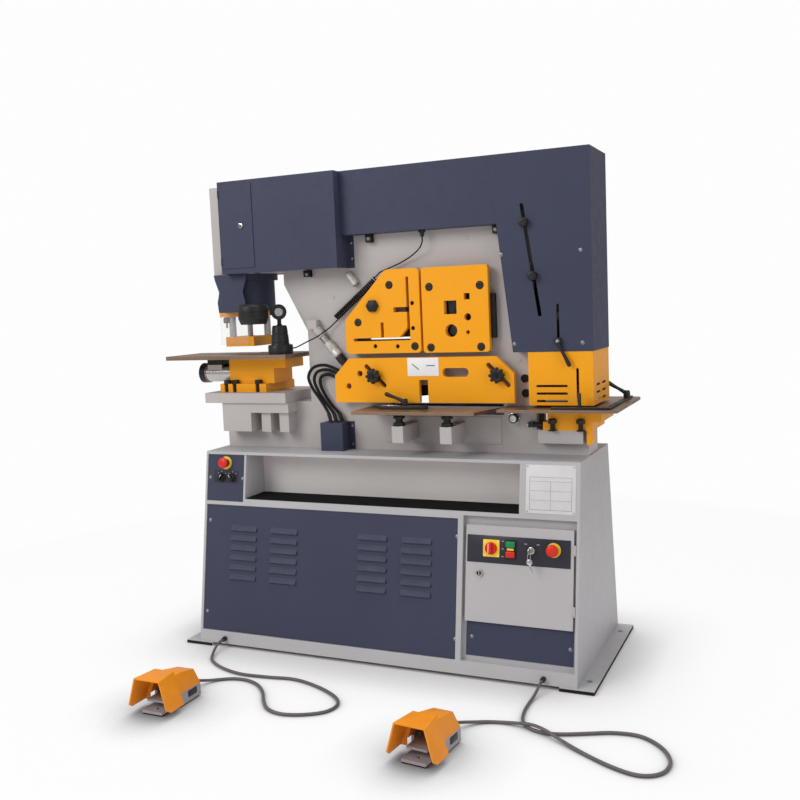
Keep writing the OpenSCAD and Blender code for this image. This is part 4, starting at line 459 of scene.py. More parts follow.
CURL_A, CURL_B = Vector((-228.3, -80, 1239.5)), Vector((-24.7, -80, 1400.5))
CORD_R, CURL_R, CURL_PITCH, CURL_LEAD, CURL_CORD, CURL_STEP = 2.5, 10.5, 9.0, 32, 1670.9, 3.3
cx, cy, cz = basis(CURL_B - CURL_A, Y)


def curl(total):
    """Place along the axis and turn about it for a cord of this length, which winds in and out gradually."""
    n = round(total / CURL_STEP)
    step, along, around, out = total / n, 0.0, 0.0, []
    for i in range(n + 1):
        out.append((along, around / CURL_R))
        w = min(1.0, (i + 0.5) * step / CURL_LEAD, (n - i - 0.5) * step / CURL_LEAD)
        a = atan2(2 * pi * CURL_R, CURL_PITCH) * w * w * (3 - 2 * w)
        along, around = along + step * cos(a), around + step * sin(a)
    return out


def rim(a):
    return (cx * cos(a) + cy * sin(a)) * CURL_R


winding = curl(CURL_CORD)
rim_a, rim_b = rim(0), rim(winding[-1][1])
a_pts = smooth_path([(-388.6, -125, 1143), (-381, -125, 1143.1), (-366, -123, 1146),
                     Vector((-330, -112, 1167)) + rim_a * 0.35, Vector((-290, -100, 1191)) + rim_a * 0.8,
                     CURL_A - cz * 24 + rim_a, CURL_A + rim_a], 8)
b_pts = smooth_path([CURL_B + rim_b, CURL_B + cz * 18 + rim_b, Vector((22, -77, 1426)) + rim_b * 0.6,
                     Vector((64, -77, 1443)) + rim_b * 0.25, (112, -86, 1466), (149, -96, 1491), (162.5, -99.6, 1513),
                     (164, -100, 1530)], 8)
lamp_pts = a_pts + [CURL_A + cz * u + rim(a) for u, a in winding[1:-1]] + b_pts
lamp_cord = curve("lamp_curly_cord", lamp_pts, CORD_R, m_rubber, ("lamp_cord", "lamp_curl"))


# ---- CAD nodes: finishes
def masked(name, base, layers):
    """One material that changes finish by place: base and each layer are (kind, arguments), layers with a mask."""
    n = Net(name)

    def parts(kind, *args):
        if kind == "paint":
            return (*paint_parts(n, *args), 0.0)
        if kind == "steel":
            return (*steel_parts(n, *args), 0.95)
        rgb, rough = args
        cloud = n.noise(26, 4, 0.6)
        col = n.mix(n.ramp(cloud, 0.35, 0.7), tint(lin(rgb), 0.88), tint(lin(rgb), 1.12))
        return col, n.ramp(cloud, 0.3, 0.7, rough - 0.06, rough + 0.08), None, 0.0

    col, rough, nor, metal = parts(*base)
    for mask, layer in layers:
        f = mask(n)
        c2, r2, _, m2 = parts(*layer)
        col = n.mix(f, col, c2)
        rough = n.op("ADD", n.op("MULTIPLY", n.op("SUBTRACT", 1.0, f), rough), n.op("MULTIPLY", f, r2))
        metal = n.op("ADD", n.op("MULTIPLY", n.op("SUBTRACT", 1.0, f), metal), n.op("MULTIPLY", f, m2))
    return n.done(col, rough, nor, metal, Specular_IOR_Level=0.28)


def within(lo, hi):
    return lambda n: n.inside(lo, hi)


P_YELLOW = ("paint", YELLOW, 0.035, 0.45, (248, 196, 84), 0.36, 420, 0.12, 1.6)
P_GREY = ("paint", GREY, 0.03, 0.25, (222, 219, 217), 0.4, 420, 0.12, 1.3)
P_BASE = ("paint", (174, 173, 176), 0.03, 0.25, (222, 220, 221), 0.4, 420, 0.12, 1.3)
# lighter paint for the tray's inner walls, painted light against the shade inside the tray; the real tray has the
# base's grey
P_TRAY_PAINTED_LIGHT = ("paint", (206, 202, 201), 0.03, 0.1, (222, 220, 221), 0.4, 420, 0.12, 1.3)
P_PEDAL = ("paint", (150, 147, 152), 0.06, 0.4, (196, 194, 196), 0.42, 300, 0.2, 1.0)
S_BRIGHT = ("steel", (186, 182, 178), 0.24, (300, 300, 5), 0.2, (120, 104, 92), 0.8)
S_DARK = ("steel", (52, 50, 50), 0.4, (90, 90, 90), 0.35, (34, 31, 30), 0.9)
S_BOLT = ("steel", (172, 168, 164), 0.3, (60, 60, 60), 0.25, (120, 108, 98), 1.0)
S_BAR = ("steel", (190, 186, 182), 0.2, (6, 260, 260), 0.2, (110, 96, 86), 0.9)
KNOB, SOLE, PAINTED_GAP_SHADE = ("plain", (28, 28, 30), 0.4), ("plain", (26, 26, 28), 0.6), ("plain", (14, 14, 15), 0.7)
ANY, GAP_SHADE_TOP = (None, None, None), 11.4

m_stripper = masked("stripper_finish", P_YELLOW, [(within((None, None, 1190.3), (None, None, 1269.7)), S_BRIGHT)])
m_bolster = masked("bolster_finish", P_YELLOW, [(lambda n: n.near_axis((-652, 0, 1100), Z, 40.2), S_BRIGHT)])
m_bolts = masked("frame_bolt_finish", S_DARK, [(within((-345, None, 1040), (-110, -60, 1412)), S_BOLT),
                                               (within((-336, None, 1205), (-290, -60, 1250)), P_GREY)])
m_bar = masked("table_bar_finish", S_BAR, [(within(ANY, (-853, None, None)), KNOB),
                                           (within((-841, None, 1076), (-769, None, None)), KNOB)])
m_pedal_base = masked("pedal_base_finish", P_PEDAL, [(within(ANY, (None, None, 5.2)), SOLE)])
# base enamel with painted shade: its lowest 11.4 mm, foot plate edges included, is near black to stand for the shaded
# gap under the machine
m_base = masked("base_enamel", P_BASE, [
    (within(ANY, (None, -339, GAP_SHADE_TOP)), PAINTED_GAP_SHADE), (within((None, 339, None), (None, None, GAP_SHADE_TOP)), PAINTED_GAP_SHADE),
    (within((807, None, None), (None, None, GAP_SHADE_TOP)), PAINTED_GAP_SHADE), (within(ANY, (-807, None, GAP_SHADE_TOP)), PAINTED_GAP_SHADE),
    # painted light inside the tray
    (within((-560, -210, 556), (546, -94, 745)), P_TRAY_PAINTED_LIGHT)])
n = Net("clear_sheet")
haze = n.ramp(n.noise(9, 4), 0.35, 0.7, 0.10, 0.17)
# the sheet is more opaque and pale along its edges, a painted highlight on the edges
m_clear = n.done(lin((226, 232, 234)), n.ramp(n.noise(40, 4), 0.3, 0.7, 0.04, 0.12),
                 Alpha=n.op("ADD", haze, n.op("MULTIPLY", n.edge(n.bevel(1.2)), 0.45)))

FINISH = {
    m_grey: "machine_frame punch_cylinder",
    m_blue: "base_covers punch_cover punch_cover_door mid_cover tall_cover cylinder_nose ram_guard hose_box",
    m_door: "electric_door", m_stripper: "stripper", m_bolster: "die_bolster", m_bolts: "frame_bolts",
    m_bar: "table_bar", m_yellow: "angle_plate bar_plate flat_shear_plate notch_guard notch_die",
    m_table: "punch_table shear_table notch_table", m_blade: "punch_ram pivot_pin cylinder_rod",
    m_shaded_shear: "fixed_blades moving_blades", m_beam: "shear_beam", m_pedal_base: "pedal_bases",
    m_cast: "power_pack main_cylinder treadle_left treadle_right", m_base: "base_cabinet", m_clear: "punch_guard",
    m_orange: "pedal_hoods", m_rubber: "hoses lamp_cord lamp_curl pedal_cord_left pedal_cord_right",
    m_dark: "shear_gauge notch_gauge notch_stop", m_chrome: "control_key", m_green: "start_button",
    m_black: "star_knob_left star_knob_right stroke_knob_upper stroke_knob_lower lamp_base lamp_head selector_left "
             "selector_right cord_glands",
    m_red: "main_switch stop_button door_estop control_estop",
}
for m, names in FINISH.items():
    for node in names.split():
        NODES[node].data.materials.clear()
        NODES[node].data.materials.append(m)


# ---- small parts in rows
def socket_screw(bm, at, axis, r, h, hr):
    """Low round head of radius r with a hexagon socket of radius hr."""
    lathe(bm, [(0, -0.4), (r, -0.4), (r, h * 0.55), (r * 0.93, h * 0.85), (r * 0.8, h), (hr * 1.12, h)], at, axis, 24)
    lathe(bm, [(hr * 1.12, h), (hr, h, hexed), (hr * 0.98, h * 0.25, hexed), (0, h * 0.18)], at, axis, 24, 1)


def dome_screw(bm, at, axis, r, h):
    """Pan head with a turned washer face and a cross recess drawn as a dimple."""
    lathe(bm, [(0, -0.3), (r * 1.25, -0.3), (r * 1.25, 0.5), (r, 0.8), (r, h * 0.5), (r * 0.8, h * 0.85),
               (r * 0.45, h), (r * 0.3, h * 0.96), (r * 0.16, h * 0.55), (0, h * 0.5)], at, axis, 24)


def hex_nut(bm, at, axis, r, h, hole=0.0, mi=0):
    lathe(bm, [(hole, 0), (r * 0.9, 0), (r, h * 0.12, hexed), (r, h * 0.88, hexed), (r * 0.88, h), (hole + 0.3, h),
               (hole, h - 0.8)] + ([(hole, 0)] if hole else []), at, axis, 48, mi)


FRONT = -Y
bm = bmesh.new()
for x, z in ((-724, 478), (317, 478), (-724, 128), (317, 128)):
    dome_screw(bm, F(x, (z - 12) / cos(LEAN), -3), FN, 5.5, 3.2)
for x, s in ((373, 130), (721, 122)):
    dome_screw(bm, F(x, s, -17.5), FN, 5.5, 3.2)
for x in (-731, -581):
    dome_screw(bm, F(x, 640.4, -3), FN, 5, 3)
for x, z in ((466, 1449), (505, 1140), (744, 1449), (744, 1140)):
    dome_screw(bm, (x, -124, z), FRONT, 5.5, 3.2)
    dome_screw(bm, (x, 124, z), Y, 5.5, 3.2)
for z in (1472, 1530):
    for side in (-1, 1):
        dome_screw(bm, (-141, side * 67, z), Y * side, 5, 3)
for x, y, z in ((-58, -88, 1541), (437, -88, 1541), (-327, -88, 1424)):
    dome_screw(bm, (x, y, z), FRONT, 6, 3)
for x in (-545, -180, 180, 545):
    for s in (100, 510):
        p = F(x, s, -3)
        dome_screw(bm, (p.x, -p.y, p.z), Vector((0, -FN.y, FN.z)), 5.5, 3.2)
for z in (765, 835):
    dome_screw(bm, (-172, -67, z), FRONT, 4.5, 2.8)
put("cover_screws", bm, m_zinc)

bm = bmesh.new()
for x, z in ((29, 1365), (-105, 1232), (123, 1139), (187, 1351), (380, 1349), (186, 1133), (378, 1132)):
    socket_screw(bm, (x, -109, z), FRONT, 12.9, 2.4, 7)
for x, z in ((118, 1296), (118, 1205), (-37, 1142), (54, 1140)):
    socket_screw(bm, (x, -98.6, z), FRONT, 7.7, 4, 4.2)
# the hexagon sockets take black plastic, painted shade in the recesses
put("plate_bolt_heads", bm, [m_dark, m_black])

bm = bmesh.new()
lathe(bm, [(0, 0), (20.5, 0), (24.5, 2.5, hexed), (24.5, 11, hexed), (20.5, 14), (17, 14.6), (15, 17), (8, 18.2),
           (0, 18.4)], (-40, -110, 1291), FRONT, 60)
put("angle_stop_knob", bm, m_black)

bm = bmesh.new()
for x, z in ((522, 1015), (524, 963)):
    lathe(bm, [(0, 0), (14.5, 0), (14.5, 4.6), (13, 6.4), (8, 7.4), (7, 7), (0, 6.6)], (x, -64, z), FRONT, 36)
put("frame_plugs", bm, m_rubber)

bm = bmesh.new()
for x, z, r in ((319, 1520, 8.5), (502, 1080, 9.5), (-230, 1330, 8.5)):
    lathe(bm, [(r, 0), (r, 0.9), (r - 1.1, 1.2), (r - 2.0, 0.5), (r - 3.0, 1.1), (0, 1.3)], (x, -64, z), FRONT, 36)
put("painted_plugs", bm, m_grey)

# hexagon nuts and washers on the bolster and notcher hold-down screws
bm = bmesh.new()
for x in (-713, -674, -566):
    lathe(bm, [(7.2, 1003), (15, 1003), (15, 1005.6), (14, 1006.4), (7.2, 1006.4)], (x, -95, 0), Z, 32)
    hex_nut(bm, (x, -95, 1006.4), Z, 14.2, 12, 7.2)
for x in (628, 727):
    lathe(bm, [(8.2, 836), (15, 836), (15, 839), (8.2, 839)], (x, -108, 0), Z, 32)
    hex_nut(bm, (x, -108, 862), Z, 15.5, 14, 8.2)
    lathe(bm, [(8.2, 876), (7.4, 878.5), (0, 879)], (x, -108, 0), Z, 32)
for x in (86, 272):
    for z0, h in ((861, 9), (884, 9)):
        hex_nut(bm, (x, -195, z0), Z, 21, h, 13.2)
    lathe(bm, [(13.2, 858), (23, 858), (23, 860.6), (13.2, 860.6)], (x, -195, 0), Z, 36)
    lathe(bm, [(13.2, 894), (26, 897), (27, 900.8), (13.2, 900.8)], (x, -195, 0), Z, 36)
put("hold_down_nuts", bm, m_dark)

# screw fittings on the frame below the notcher table
bm = bmesh.new()
BIG, SMALL, CROSS = (481, -64, 874), (548, -64, 853), (545, -82, 853)
hex_nut(bm, BIG, FRONT, 21, 10, 0, 1)
lathe(bm, [(17, 10), (17, 26), (16, 28), (12.5, 28), (12, 24), (0, 23.4)], BIG, FRONT, 40, 0)
lathe(bm, [(12.2, 24), (12.2, 28.4), (9, 28.6), (8.6, 24.4), (0, 24.2)], BIG, FRONT, 36, 1)
hex_nut(bm, SMALL, FRONT, 13, 9, 0, 1)
lathe(bm, [(8, 9), (8, 26), (0, 26)], SMALL, FRONT, 28, 1)
lathe(bm, [(0, -9), (9, -9), (10.5, -7), (10.5, 7), (9, 10), (8, 12), (8, 30), (10, 31), (10, 40), (8.5, 41.5),
           (0, 42)], CROSS, X, 32, 0)
lathe(bm, [(0, 8.4), (7.6, 8.6), (8.6, 9.4), (8.6, 13), (0, 13.4)], CROSS, -X, 28, 1)
put("frame_fittings", bm, [m_black, m_chrome])

# sleeves on the hold-down screw of the angle shear
A, D = Vector((-316, -79, 1230)), Vector((144, 0, -166)).normalized()
bm = bmesh.new()
lathe(bm, [(14.2, 24), (18, 24), (19, 26), (19, 62), (17.5, 64), (14.2, 64)], A, D, 36, 0)
lathe(bm, [(14.2, 96), (17, 96), (18.6, 98), (18.6, 132), (17.4, 134), (17.4, 138), (18.6, 140), (18.6, 160), (17, 162),
           (14.2, 162)], A, D, 48, 1)
lathe(bm, [(14.2, 166), (16.5, 166), (16.5, 190), (15, 192), (15, 206), (14.2, 206)], A, D, 36, 2)
B, E = Vector((-150, -74, 1408)), Vector((30, 0, -37)).normalized()
lathe(bm, [(0, -12), (11, -12), (13.6, -10.6), (15, -8), (15, 14), (14.2, 15), (14.2, 17), (15, 18), (15, 42), (13, 44),
           (10.2, 44)], B, E, 44, 1)
put("hold_down_sleeves", bm, [m_grey, m_turned, m_dark])

# ---- slug tray mat, bare plates and label places
bm = bmesh.new()
ribs = [(-236, 566.5), (-104.5, 566.5)]
y = -104.5
while y > -234:
    ribs += [(y, 569.6), (y - 1.2, 570.6), (y - 3.4, 570.6), (y - 4.6, 569.2)]
    y -= 6.4
ribs += [(-236, 569.2)]
prism(bm, ribs, (-560, 0, 0), Y, Z, 1096)
put("tray_mat", bm, m_mat_shaded)

bm = bmesh.new()
face_plate(bm, rrect(563, 568, 735, 732, 4), 0.0, 1.4, 0.5)
for x in (568.5, 729.5):
    for s in (573.5, 726.5):
        lathe(bm, [(0, 0), (2.6, 0), (2.4, 1), (1.4, 1.7), (0, 1.9)], F(x, s, 1.3), FN, 18, 2)
for field in ((576, 690, 722, 690.9), (576, 580, 722, 580.9), (576, 644, 722, 644.7), (576, 612, 722, 612.7),
              (576, 676, 722, 676.7), (576, 580, 576.9, 690.9), (721.1, 580, 722, 690.9), (648.6, 580, 649.4, 676)):
    face_plate(bm, rect(*field), 1.35, 1.55, 0, 1)
put("bare_rating_plate", bm, [m_plate, m_ink, m_zinc])

bm = bmesh.new()
front_plate(bm, rrect(92, 1030, 215, 1096.5, 3), -115, 0.7, 0.25)
for x, z, turn in ((124, 1064, -38), (184, 1068, 0)):
    c, s = cos(radians(turn)), sin(radians(turn))
    bar = [(x + a * c - b * s, z + a * s + b * c) for a, b in rect(-17, -1.6, 17, 1.6)]
    front_plate(bm, bar, -115.65, 0.15, 0, 1)
put("bare_label", bm, [m_white, m_ink], "flat_shear_plate")

# ---- control plate and electric door, placed by x and s
SELECTORS, SELECTOR_S = (("selector_left", -677, 32), ("selector_right", -628, -35)), 642.74
CONTROL_ESTOP, DOOR_ESTOP = (-658, 699.74), (663, 447.74)
SWITCH, KEY, LOCK, BUTTON_X = (444, 440.74), (587, 441.74), (402, 352.74), 513
bm = bmesh.new()
face_plate(bm, rrect(-713, 622, -599, 671, 3), -3.0, -2.75, 0)
lathe(bm, [(7.6, 0), (25.5, 0), (25.5, 1.4), (24.6, 2.2), (15.5, 2.2)], F(*CONTROL_ESTOP, -3), FN, 56, 2)
lathe(bm, [(15.5, 2.2), (15.5, 8.4), (14.5, 9.4), (7.6, 9.4)], F(*CONTROL_ESTOP, -3), FN, 48, 1)
for _, x, _ in SELECTORS:
    lathe(bm, [(14.4, 0), (18.5, 0), (18.5, 3), (17, 4.4), (14.8, 4.4), (14.4, 3.6)], F(x, SELECTOR_S, -2.9), FN, 40, 1)
    for a in (45, 90, 135):
        d = Vector((cos(radians(a)), sin(radians(a))))
        p, e = Vector((x, SELECTOR_S)) + d * 20.5, Vector((-d.y, d.x)) * 0.6
        face_plate(bm, [p - e, p + d * 4 - e, p + d * 4 + e, p + e], -2.76, -2.6, 0, 3)
put("control_plate_details", bm, [m_panel, m_black, m_lamp_yellow, m_white])

bm = bmesh.new()
face_plate(bm, rrect(356, 389.74, 721, 483.74, 2), -0.52, -0.2, 0.1)
face_plate(bm, rrect(414.5, 411.24, 473.5, 470.24, 3), -0.3, 2.95, 0.8, 2)
for x in (420, 468):
    for s in (416.7, 464.7):
        lathe(bm, [(0, 0), (2.2, 0), (2.0, 0.7), (0.9, 0.9), (0, 0.5)], F(x, s, 2.9), FN, 16, 4)
for bar in ((493, 407, 496.4, 474), (529.6, 407, 533, 474), (496.4, 407, 529.6, 412.4), (496.4, 468.9, 529.6, 474),
            (496.4, 434.9, 529.6, 446.5)):
    face_plate(bm, rect(*bar), -0.3, 4.2, 0.5, 1)
face_plate(bm, rrect(501, 436.9, 525, 444.5, 1.5), 4.1, 5.4, 0.6, 2)
lathe(bm, [(7.6, 0), (24.5, 0), (24.5, 1.2), (23.6, 2), (15.6, 2)], F(*DOOR_ESTOP, -0.3), FN, 56, 2)
lathe(bm, [(15.6, 2), (15.6, 9.9), (14.6, 10.1), (7.6, 10.1)], F(*DOOR_ESTOP, -0.3), FN, 48, 1)
lathe(bm, [(12.3, 0), (17, 0), (17, 2), (15.6, 3.6), (12.3, 4.4)], F(*KEY, -0.3), FN, 48, 1)
lathe(bm, [(12.2, 0), (12.2, 7.6), (11.4, 8.05), (7.6, 8.05)], F(*KEY, -0.3), FN, 48, 3)
for dash in ((560, 462, 570, 463.2), (604, 462, 614, 463.2), (481, 466, 488, 467.2), (481, 440.2, 488, 441.4),
             (481, 414, 488, 415.2)):
    face_plate(bm, rect(*dash), -0.22, -0.08, 0, 4)
lathe(bm, [(0, 0), (12.6, 0), (12.6, 1.6), (11.4, 3.2), (8.6, 3.6)], F(*LOCK, 2.2), FN, 40, 3)
lathe(bm, [(8.6, 3.6), (8.2, 2.6), (0, 2.4)], F(*LOCK, 2.2), FN, 40, 1)
face_plate(bm, rrect(400.4, 346, 403.6, 359.4, 1.4), 4.4, 5.4, 0.3, 3)
put("door_panel", bm, [m_panel, m_black, m_lamp_yellow, m_chrome, m_white], "electric_door")

# rotary main switch
bm = bmesh.new()
lathe(bm, [(0, -18), (7, -18), (7, 2.8), (20, 2.8), (21, 3.8), (21, 9.5), (19.6, 11.6), (17, 12.4), (0, 12.6)],
      F(*SWITCH), FN, 56)
face_plate(bm, rrect(437.6, 421, 450.4, 460.5, 5.5), 11.5, 24, 2.4)
face_plate(bm, rrect(438.6, 425, 440.8, 457, 1), 23.4, 24.25, 0.2, 1)
put("main_switch_knob", bm, [m_red, m_white], "main_switch", ("main_switch",))

for name, s, mat, slot in (("start_button", 457.74, m_green, "green_plastic"),
                           ("stop_button", 423.74, m_red, "red_plastic")):
    bm = bmesh.new()
    lathe(bm, [(0, -18), (7, -18), (7, 5)], F(BUTTON_X, s), FN, 28, 1)
    face_plate(bm, rrect(BUTTON_X - 16, s - 10.4, BUTTON_X + 16, s + 10.4, 2.4), 4.0, 8.6, 1.2)
    face_plate(bm, rrect(BUTTON_X - 12, s - 7, BUTTON_X + 12, s + 7, 2), 8.4, 9.1, 0.4)
    put(name + "_cap", bm, [mat, m_black], name, (name,))

for name, at, n0, stem in (("door_estop", DOOR_ESTOP, 14.0, -18), ("control_estop", CONTROL_ESTOP, 11.5, -20)):
    bm = bmesh.new()
    lathe(bm, [(0, stem), (7, stem), (7, n0)], F(*at), FN, 28, 1)
    lathe(bm, [(7, n0), (14.6, n0), (16, n0 + 1), (20, n0 + 5), (21, n0 + 8), (20.6, n0 + 11), (18.8, n0 + 13.8),
               (15, n0 + 15.8), (9, n0 + 16.7), (0, n0 + 17)], F(*at), FN, 56)
    put(name + "_head", bm, [m_red, m_black], name, (name,))

for name, x, turn in SELECTORS:
    bm = bmesh.new()
    c = F(x, SELECTOR_S)
    lathe(bm, [(0, -20), (7, -20), (7, -2.6), (13, -2.6), (13.8, -1.8), (13.8, 5.2), (12.6, 6.6), (0, 7)], c, FN, 48)
    a = radians(turn)
    u, v = X * cos(a) - FU * sin(a), X * sin(a) + FU * cos(a)
    prism(bm, rrect(-4.4, -14, 4.4, 14, 3.8), c + FN * 6, u, v, 10, 1.6)
    prism(bm, rrect(-0.9, 1, 0.9, 12.6, 0.6), c + FN * 15.8, u, v, 0.5, 0.1, 1)
    put(name + "_knob", bm, [m_black, m_white], name, (name,))

# key in its switch, its ring and a second key hanging
bm = bmesh.new()
c = F(*KEY)
lathe(bm, [(0, -18), (6.8, -18), (6.8, 7.9), (0, 8.2)], c, FN, 28)
prism(bm, rrect(-5, 6, 5, 22, 1), c - X * 1.1, FU, FN, 2.2, 0.4)
prism(bm, oval(0, 31, 12, 11, 28), c - X * 1.2, FU, FN, 2.4, 0.5)
loop = [c - FU * (19 - 12 * cos(a)) + FN * 32 + X * (5 * sin(a))
        for a in (2 * pi * i / 30 for i in range(31))]
sweep(bm, loop, 1.1, 10, ends=False)
a = radians(14)
u, v = X * cos(a) + FU * sin(a), FU * cos(a) - X * sin(a)
k0 = c - FU * 27 + FN * 31
prism(bm, oval(0, -9, 10.5, 9.5, 26), k0, u, v, 2.2, 0.5)
teeth = [(-3.6, -17), (-3.6, -47), (0, -51), (2, -48), (2, -45), (3.6, -43), (2.2, -40), (3.6, -37), (2.2, -33),
         (3.6, -30), (3.6, -17)]
prism(bm, teeth, k0, u, v, 2.0, 0.3)
put("key_ring", bm, m_chrome, "control_key", ("control_key",))

# ---- knobs, clamp levers and gauges
def star(a):
    return 1 + 0.15 * cos(8 * a) - 0.02 * cos(16 * a)


def grip(a):
    return 1 + 0.022 * cos(36 * a)


STAR_PROF = [(8.2, 0), (13.4, 0), (14, 0.8), (14, 8.8), (20, 9), (23.6, 9.4, star), (25.2, 11.4, star),
             (25.2, 26.6, star), (23.8, 29.4, star), (20, 30.6, star), (16.5, 31.2), (15.2, 30.4), (13, 30.6), (12, 32),
             (9, 32), (8.2, 31.4), (8.2, 0)]
STROKE_PROF = [(0, -9), (14.4, -9), (14.4, -3.3), (6.2, -3.3), (6.2, 0.3), (10.4, 0.3), (10.4, 4.2), (15.6, 4.4),
               (16.1, 5.2, grip), (16.1, 20.2, grip), (15.2, 22.2), (12.6, 23.6), (7.4, 24), (6.6, 23.2), (0, 23)]
for name, at, prof, seg in (
        ("star_knob_left", (-40, -116, 1032), STAR_PROF, 160), ("star_knob_right", (440, -116, 1032), STAR_PROF, 160),
        ("stroke_knob_upper", (552.6, -124, 1552.62), STROKE_PROF, 144),
        ("stroke_knob_lower", (578.97, -124, 1370.51), STROKE_PROF, 144)):
    bm = bmesh.new()
    lathe(bm, prof, at, FRONT, seg)
    put(name + "_grip", bm, m_black, name, (name,))

TIP = (0.4, 0.8, 1.15, 1.4, 1.52)


def clamp_arm(bm, pts, r0, r1, r2):
    """Moulded lever arm that narrows at its middle and ends in a rounded grip; TIP has the angles of that end."""
    path = smooth_path(pts, 8)
    t = (path[-1] - path[-2]).normalized()
    path += [path[-1] + t * (r2 * sin(a)) for a in TIP]
    n = len(path) - 1

    def radius(w):
        i = w * n
        if i > n - 5 - 1e-6:
            return r2 * cos(TIP[max(0, round(i) - (n - 4))])
        q = i / (n - 5)
        return r0 + (r1 - r0) * min(1, q / 0.45) if q < 0.45 else r1 + (r2 - r1) * (q - 0.45) / 0.55
    sweep(bm, path, radius, 18)


def gauge_clamp(bm, x, y, low, top, arm):
    """Clamp lever of a gauge bar: pin from low to top with its nut under the table, hub and arm above the bar."""
    lathe(bm, [(0, low), (5, low), (5, top)], (x, y, 0), Z, 20, 1)
    lathe(bm, [(5, low + 4), (10, low + 4), (11, low + 5), (11, low + 10.4), (10, low + 11.5), (5, low + 11.5)],
          (x, y, 0), Z, 24, 1)
    lathe(bm, [(0, 0), (11.04, 0), (12, 1), (12, 14.3), (11.52, 20.8), (9.6, 25.4), (6, 26)], (x, y, 925), Z, 36)
    lathe(bm, [(6, 26), (5.28, 24.8), (0, 24.6)], (x, y, 925), Z, 36, 1)
    clamp_arm(bm, arm, 7.6, 5.6, 8.4)


bm = bmesh.new()
block(bm, (-10, -160, 913), (175, -130, 925), 1.6)
block(bm, (-6, -147.5, 924.4), (70, -142.5, 925.6), 0.3, 1)
gauge_clamp(bm, 88, -145, 889, 914, [(84, -145.3, 941), (62, -147, 951), (38, -149, 960), (20, -150, 967)])
put("shear_gauge_bar", bm, [m_dark, m_chrome], "shear_gauge", ("shear_gauge",))

bm = bmesh.new()
block(bm, (640, -172, 918), (844, -154, 925), 1.0)
block(bm, (826, -156, 918), (844, 220, 925), 1.0)
block(bm, (733, -169, 924), (743, -157, 973), 1.2)
gauge_clamp(bm, 835, 150, 896, 919, [(831, 149.7, 942), (810, 148.5, 955), (788, 147, 968), (769, 146, 980)])
put("notch_gauge_bar", bm, [m_dark, m_chrome], "notch_gauge", ("notch_gauge",))

bm = bmesh.new()
lathe(bm, [(0, -9), (12, -9), (12, -3.3), (4.2, -3.3), (4.2, 0.3), (12, 0.3), (13, 1.2), (13, 9), (12.4, 13),
           (10, 15.4), (6.4, 16)], (661, -124, 1147), FRONT, 40)
lathe(bm, [(6.4, 16), (5.6, 14.6), (0, 14.4)], (661, -124, 1147), FRONT, 32, 1)
clamp_arm(bm, [(662, -133.5, 1143), (671, -136, 1121), (687, -138, 1092), (699, -138, 1067)], 7.4, 5.2, 7.6)
put("notch_stop_lever", bm, [m_black, m_chrome], "notch_stop", ("notch_stop",))

bm = bmesh.new()
lathe(bm, [(0, 0), (11, 0), (13, 2), (13, 17), (11.6, 21), (7, 23.6), (0, 24)], (-722, -62, 1246), Z, 40, 0)
lathe(bm, [(4, -20), (4, 0)], (-722, -62, 1246), Z, 20, 1)
put("bracket_knob", bm, [m_black, m_brass])

bm = bmesh.new()
lathe(bm, [(0, 0), (10.4, 0), (10.4, 2.4), (9.4, 3.6), (7, 4)], (-559, -170.2, 1617.5), FRONT, 36, 0)
lathe(bm, [(7, 4), (6.6, 3), (0, 2.8)], (-559, -170.2, 1617.5), FRONT, 36, 1)
front_plate(bm, rrect(-560.3, 1612.5, -557.7, 1622.5, 1.2), -173.4, 0.9, 0.2)
put("punch_door_lock", bm, [m_chrome, m_black], "punch_cover_door")

# ---- work lamp, in its own turned axes
turn = radians(31.3)
LX, LY = Vector((cos(turn), sin(turn), 0)), Vector((-sin(turn), cos(turn), 0))
L0 = Vector((-437, -125, 0))


def L(x, y, z):
    return L0 + LX * x + LY * y + Z * z


HINGE, HEAD = L(0, 0, 1283), L(-97, -9, 1240)
bm = bmesh.new()
lathe(bm, [(0, 1121), (46.5, 1121), (47.5, 1122), (47.5, 1126), (45.5, 1126.6), (45.5, 1128.4), (48, 1129),
           (48, 1152.5), (46.5, 1156), (42, 1157.4), (36.5, 1157.6), (35.4, 1159), (34.9, 1163), (33.6, 1164),
           (33.4, 1167), (34.4, 1168), (31.8, 1196), (30.6, 1197), (30.4, 1200), (31.4, 1201), (28.8, 1224),
           (27, 1229.6), (23, 1231.4), (0, 1231.8)], L0, Z, 64)
lathe(bm, [(11, 1229), (11, 1234), (8, 1236), (8, 1262)], L(0, 9, 0), Z, 28)
lathe(bm, [(0, 0.3), (29, 0.3), (30, 1.3), (30, 16), (28, 18), (18, 18), (17, 17.2), (0, 17.2)], HINGE, LY, 48)
put("lamp_stand", bm, m_black, hide=("lamp_base",))

bm = bmesh.new()
lathe(bm, [(0, 0), (29, 0), (30, 1), (30, 16), (28, 18), (17, 18)], HINGE, -LY, 48)
lathe(bm, [(17, 18), (16.8, 17), (16, 16.8)], HINGE, -LY, 48)
lathe(bm, [(16, 16.8), (16, 19), (15, 20), (8.6, 20.4), (8, 18.8), (0, 18.6)], HINGE, -LY, 48, 1)
sweep(bm, [L(-34, -9, 1283), L(-24, -9, 1283), L(-18, -9, 1283)], 9, 24)
lathe(bm, [(48, 0), (49.5, 0.4), (52.5, 8), (57.4, 20.6), (58, 22.5), (58, 30), (56.8, 31), (56.8, 34), (58, 35),
           (58, 43), (56.8, 44), (56.8, 47), (58, 48), (58, 64.5), (56, 69), (48, 75.8), (44, 77), (30, 77.6),
           (29, 76.8), (0, 76.6)], HEAD, Z, 72)
lathe(bm, [(48, 0), (46.4, 0.8), (45.8, 4)], HEAD, Z, 72, 1)
lathe(bm, [(45.8, 4), (0, 4.6)], HEAD, Z, 72, 2)
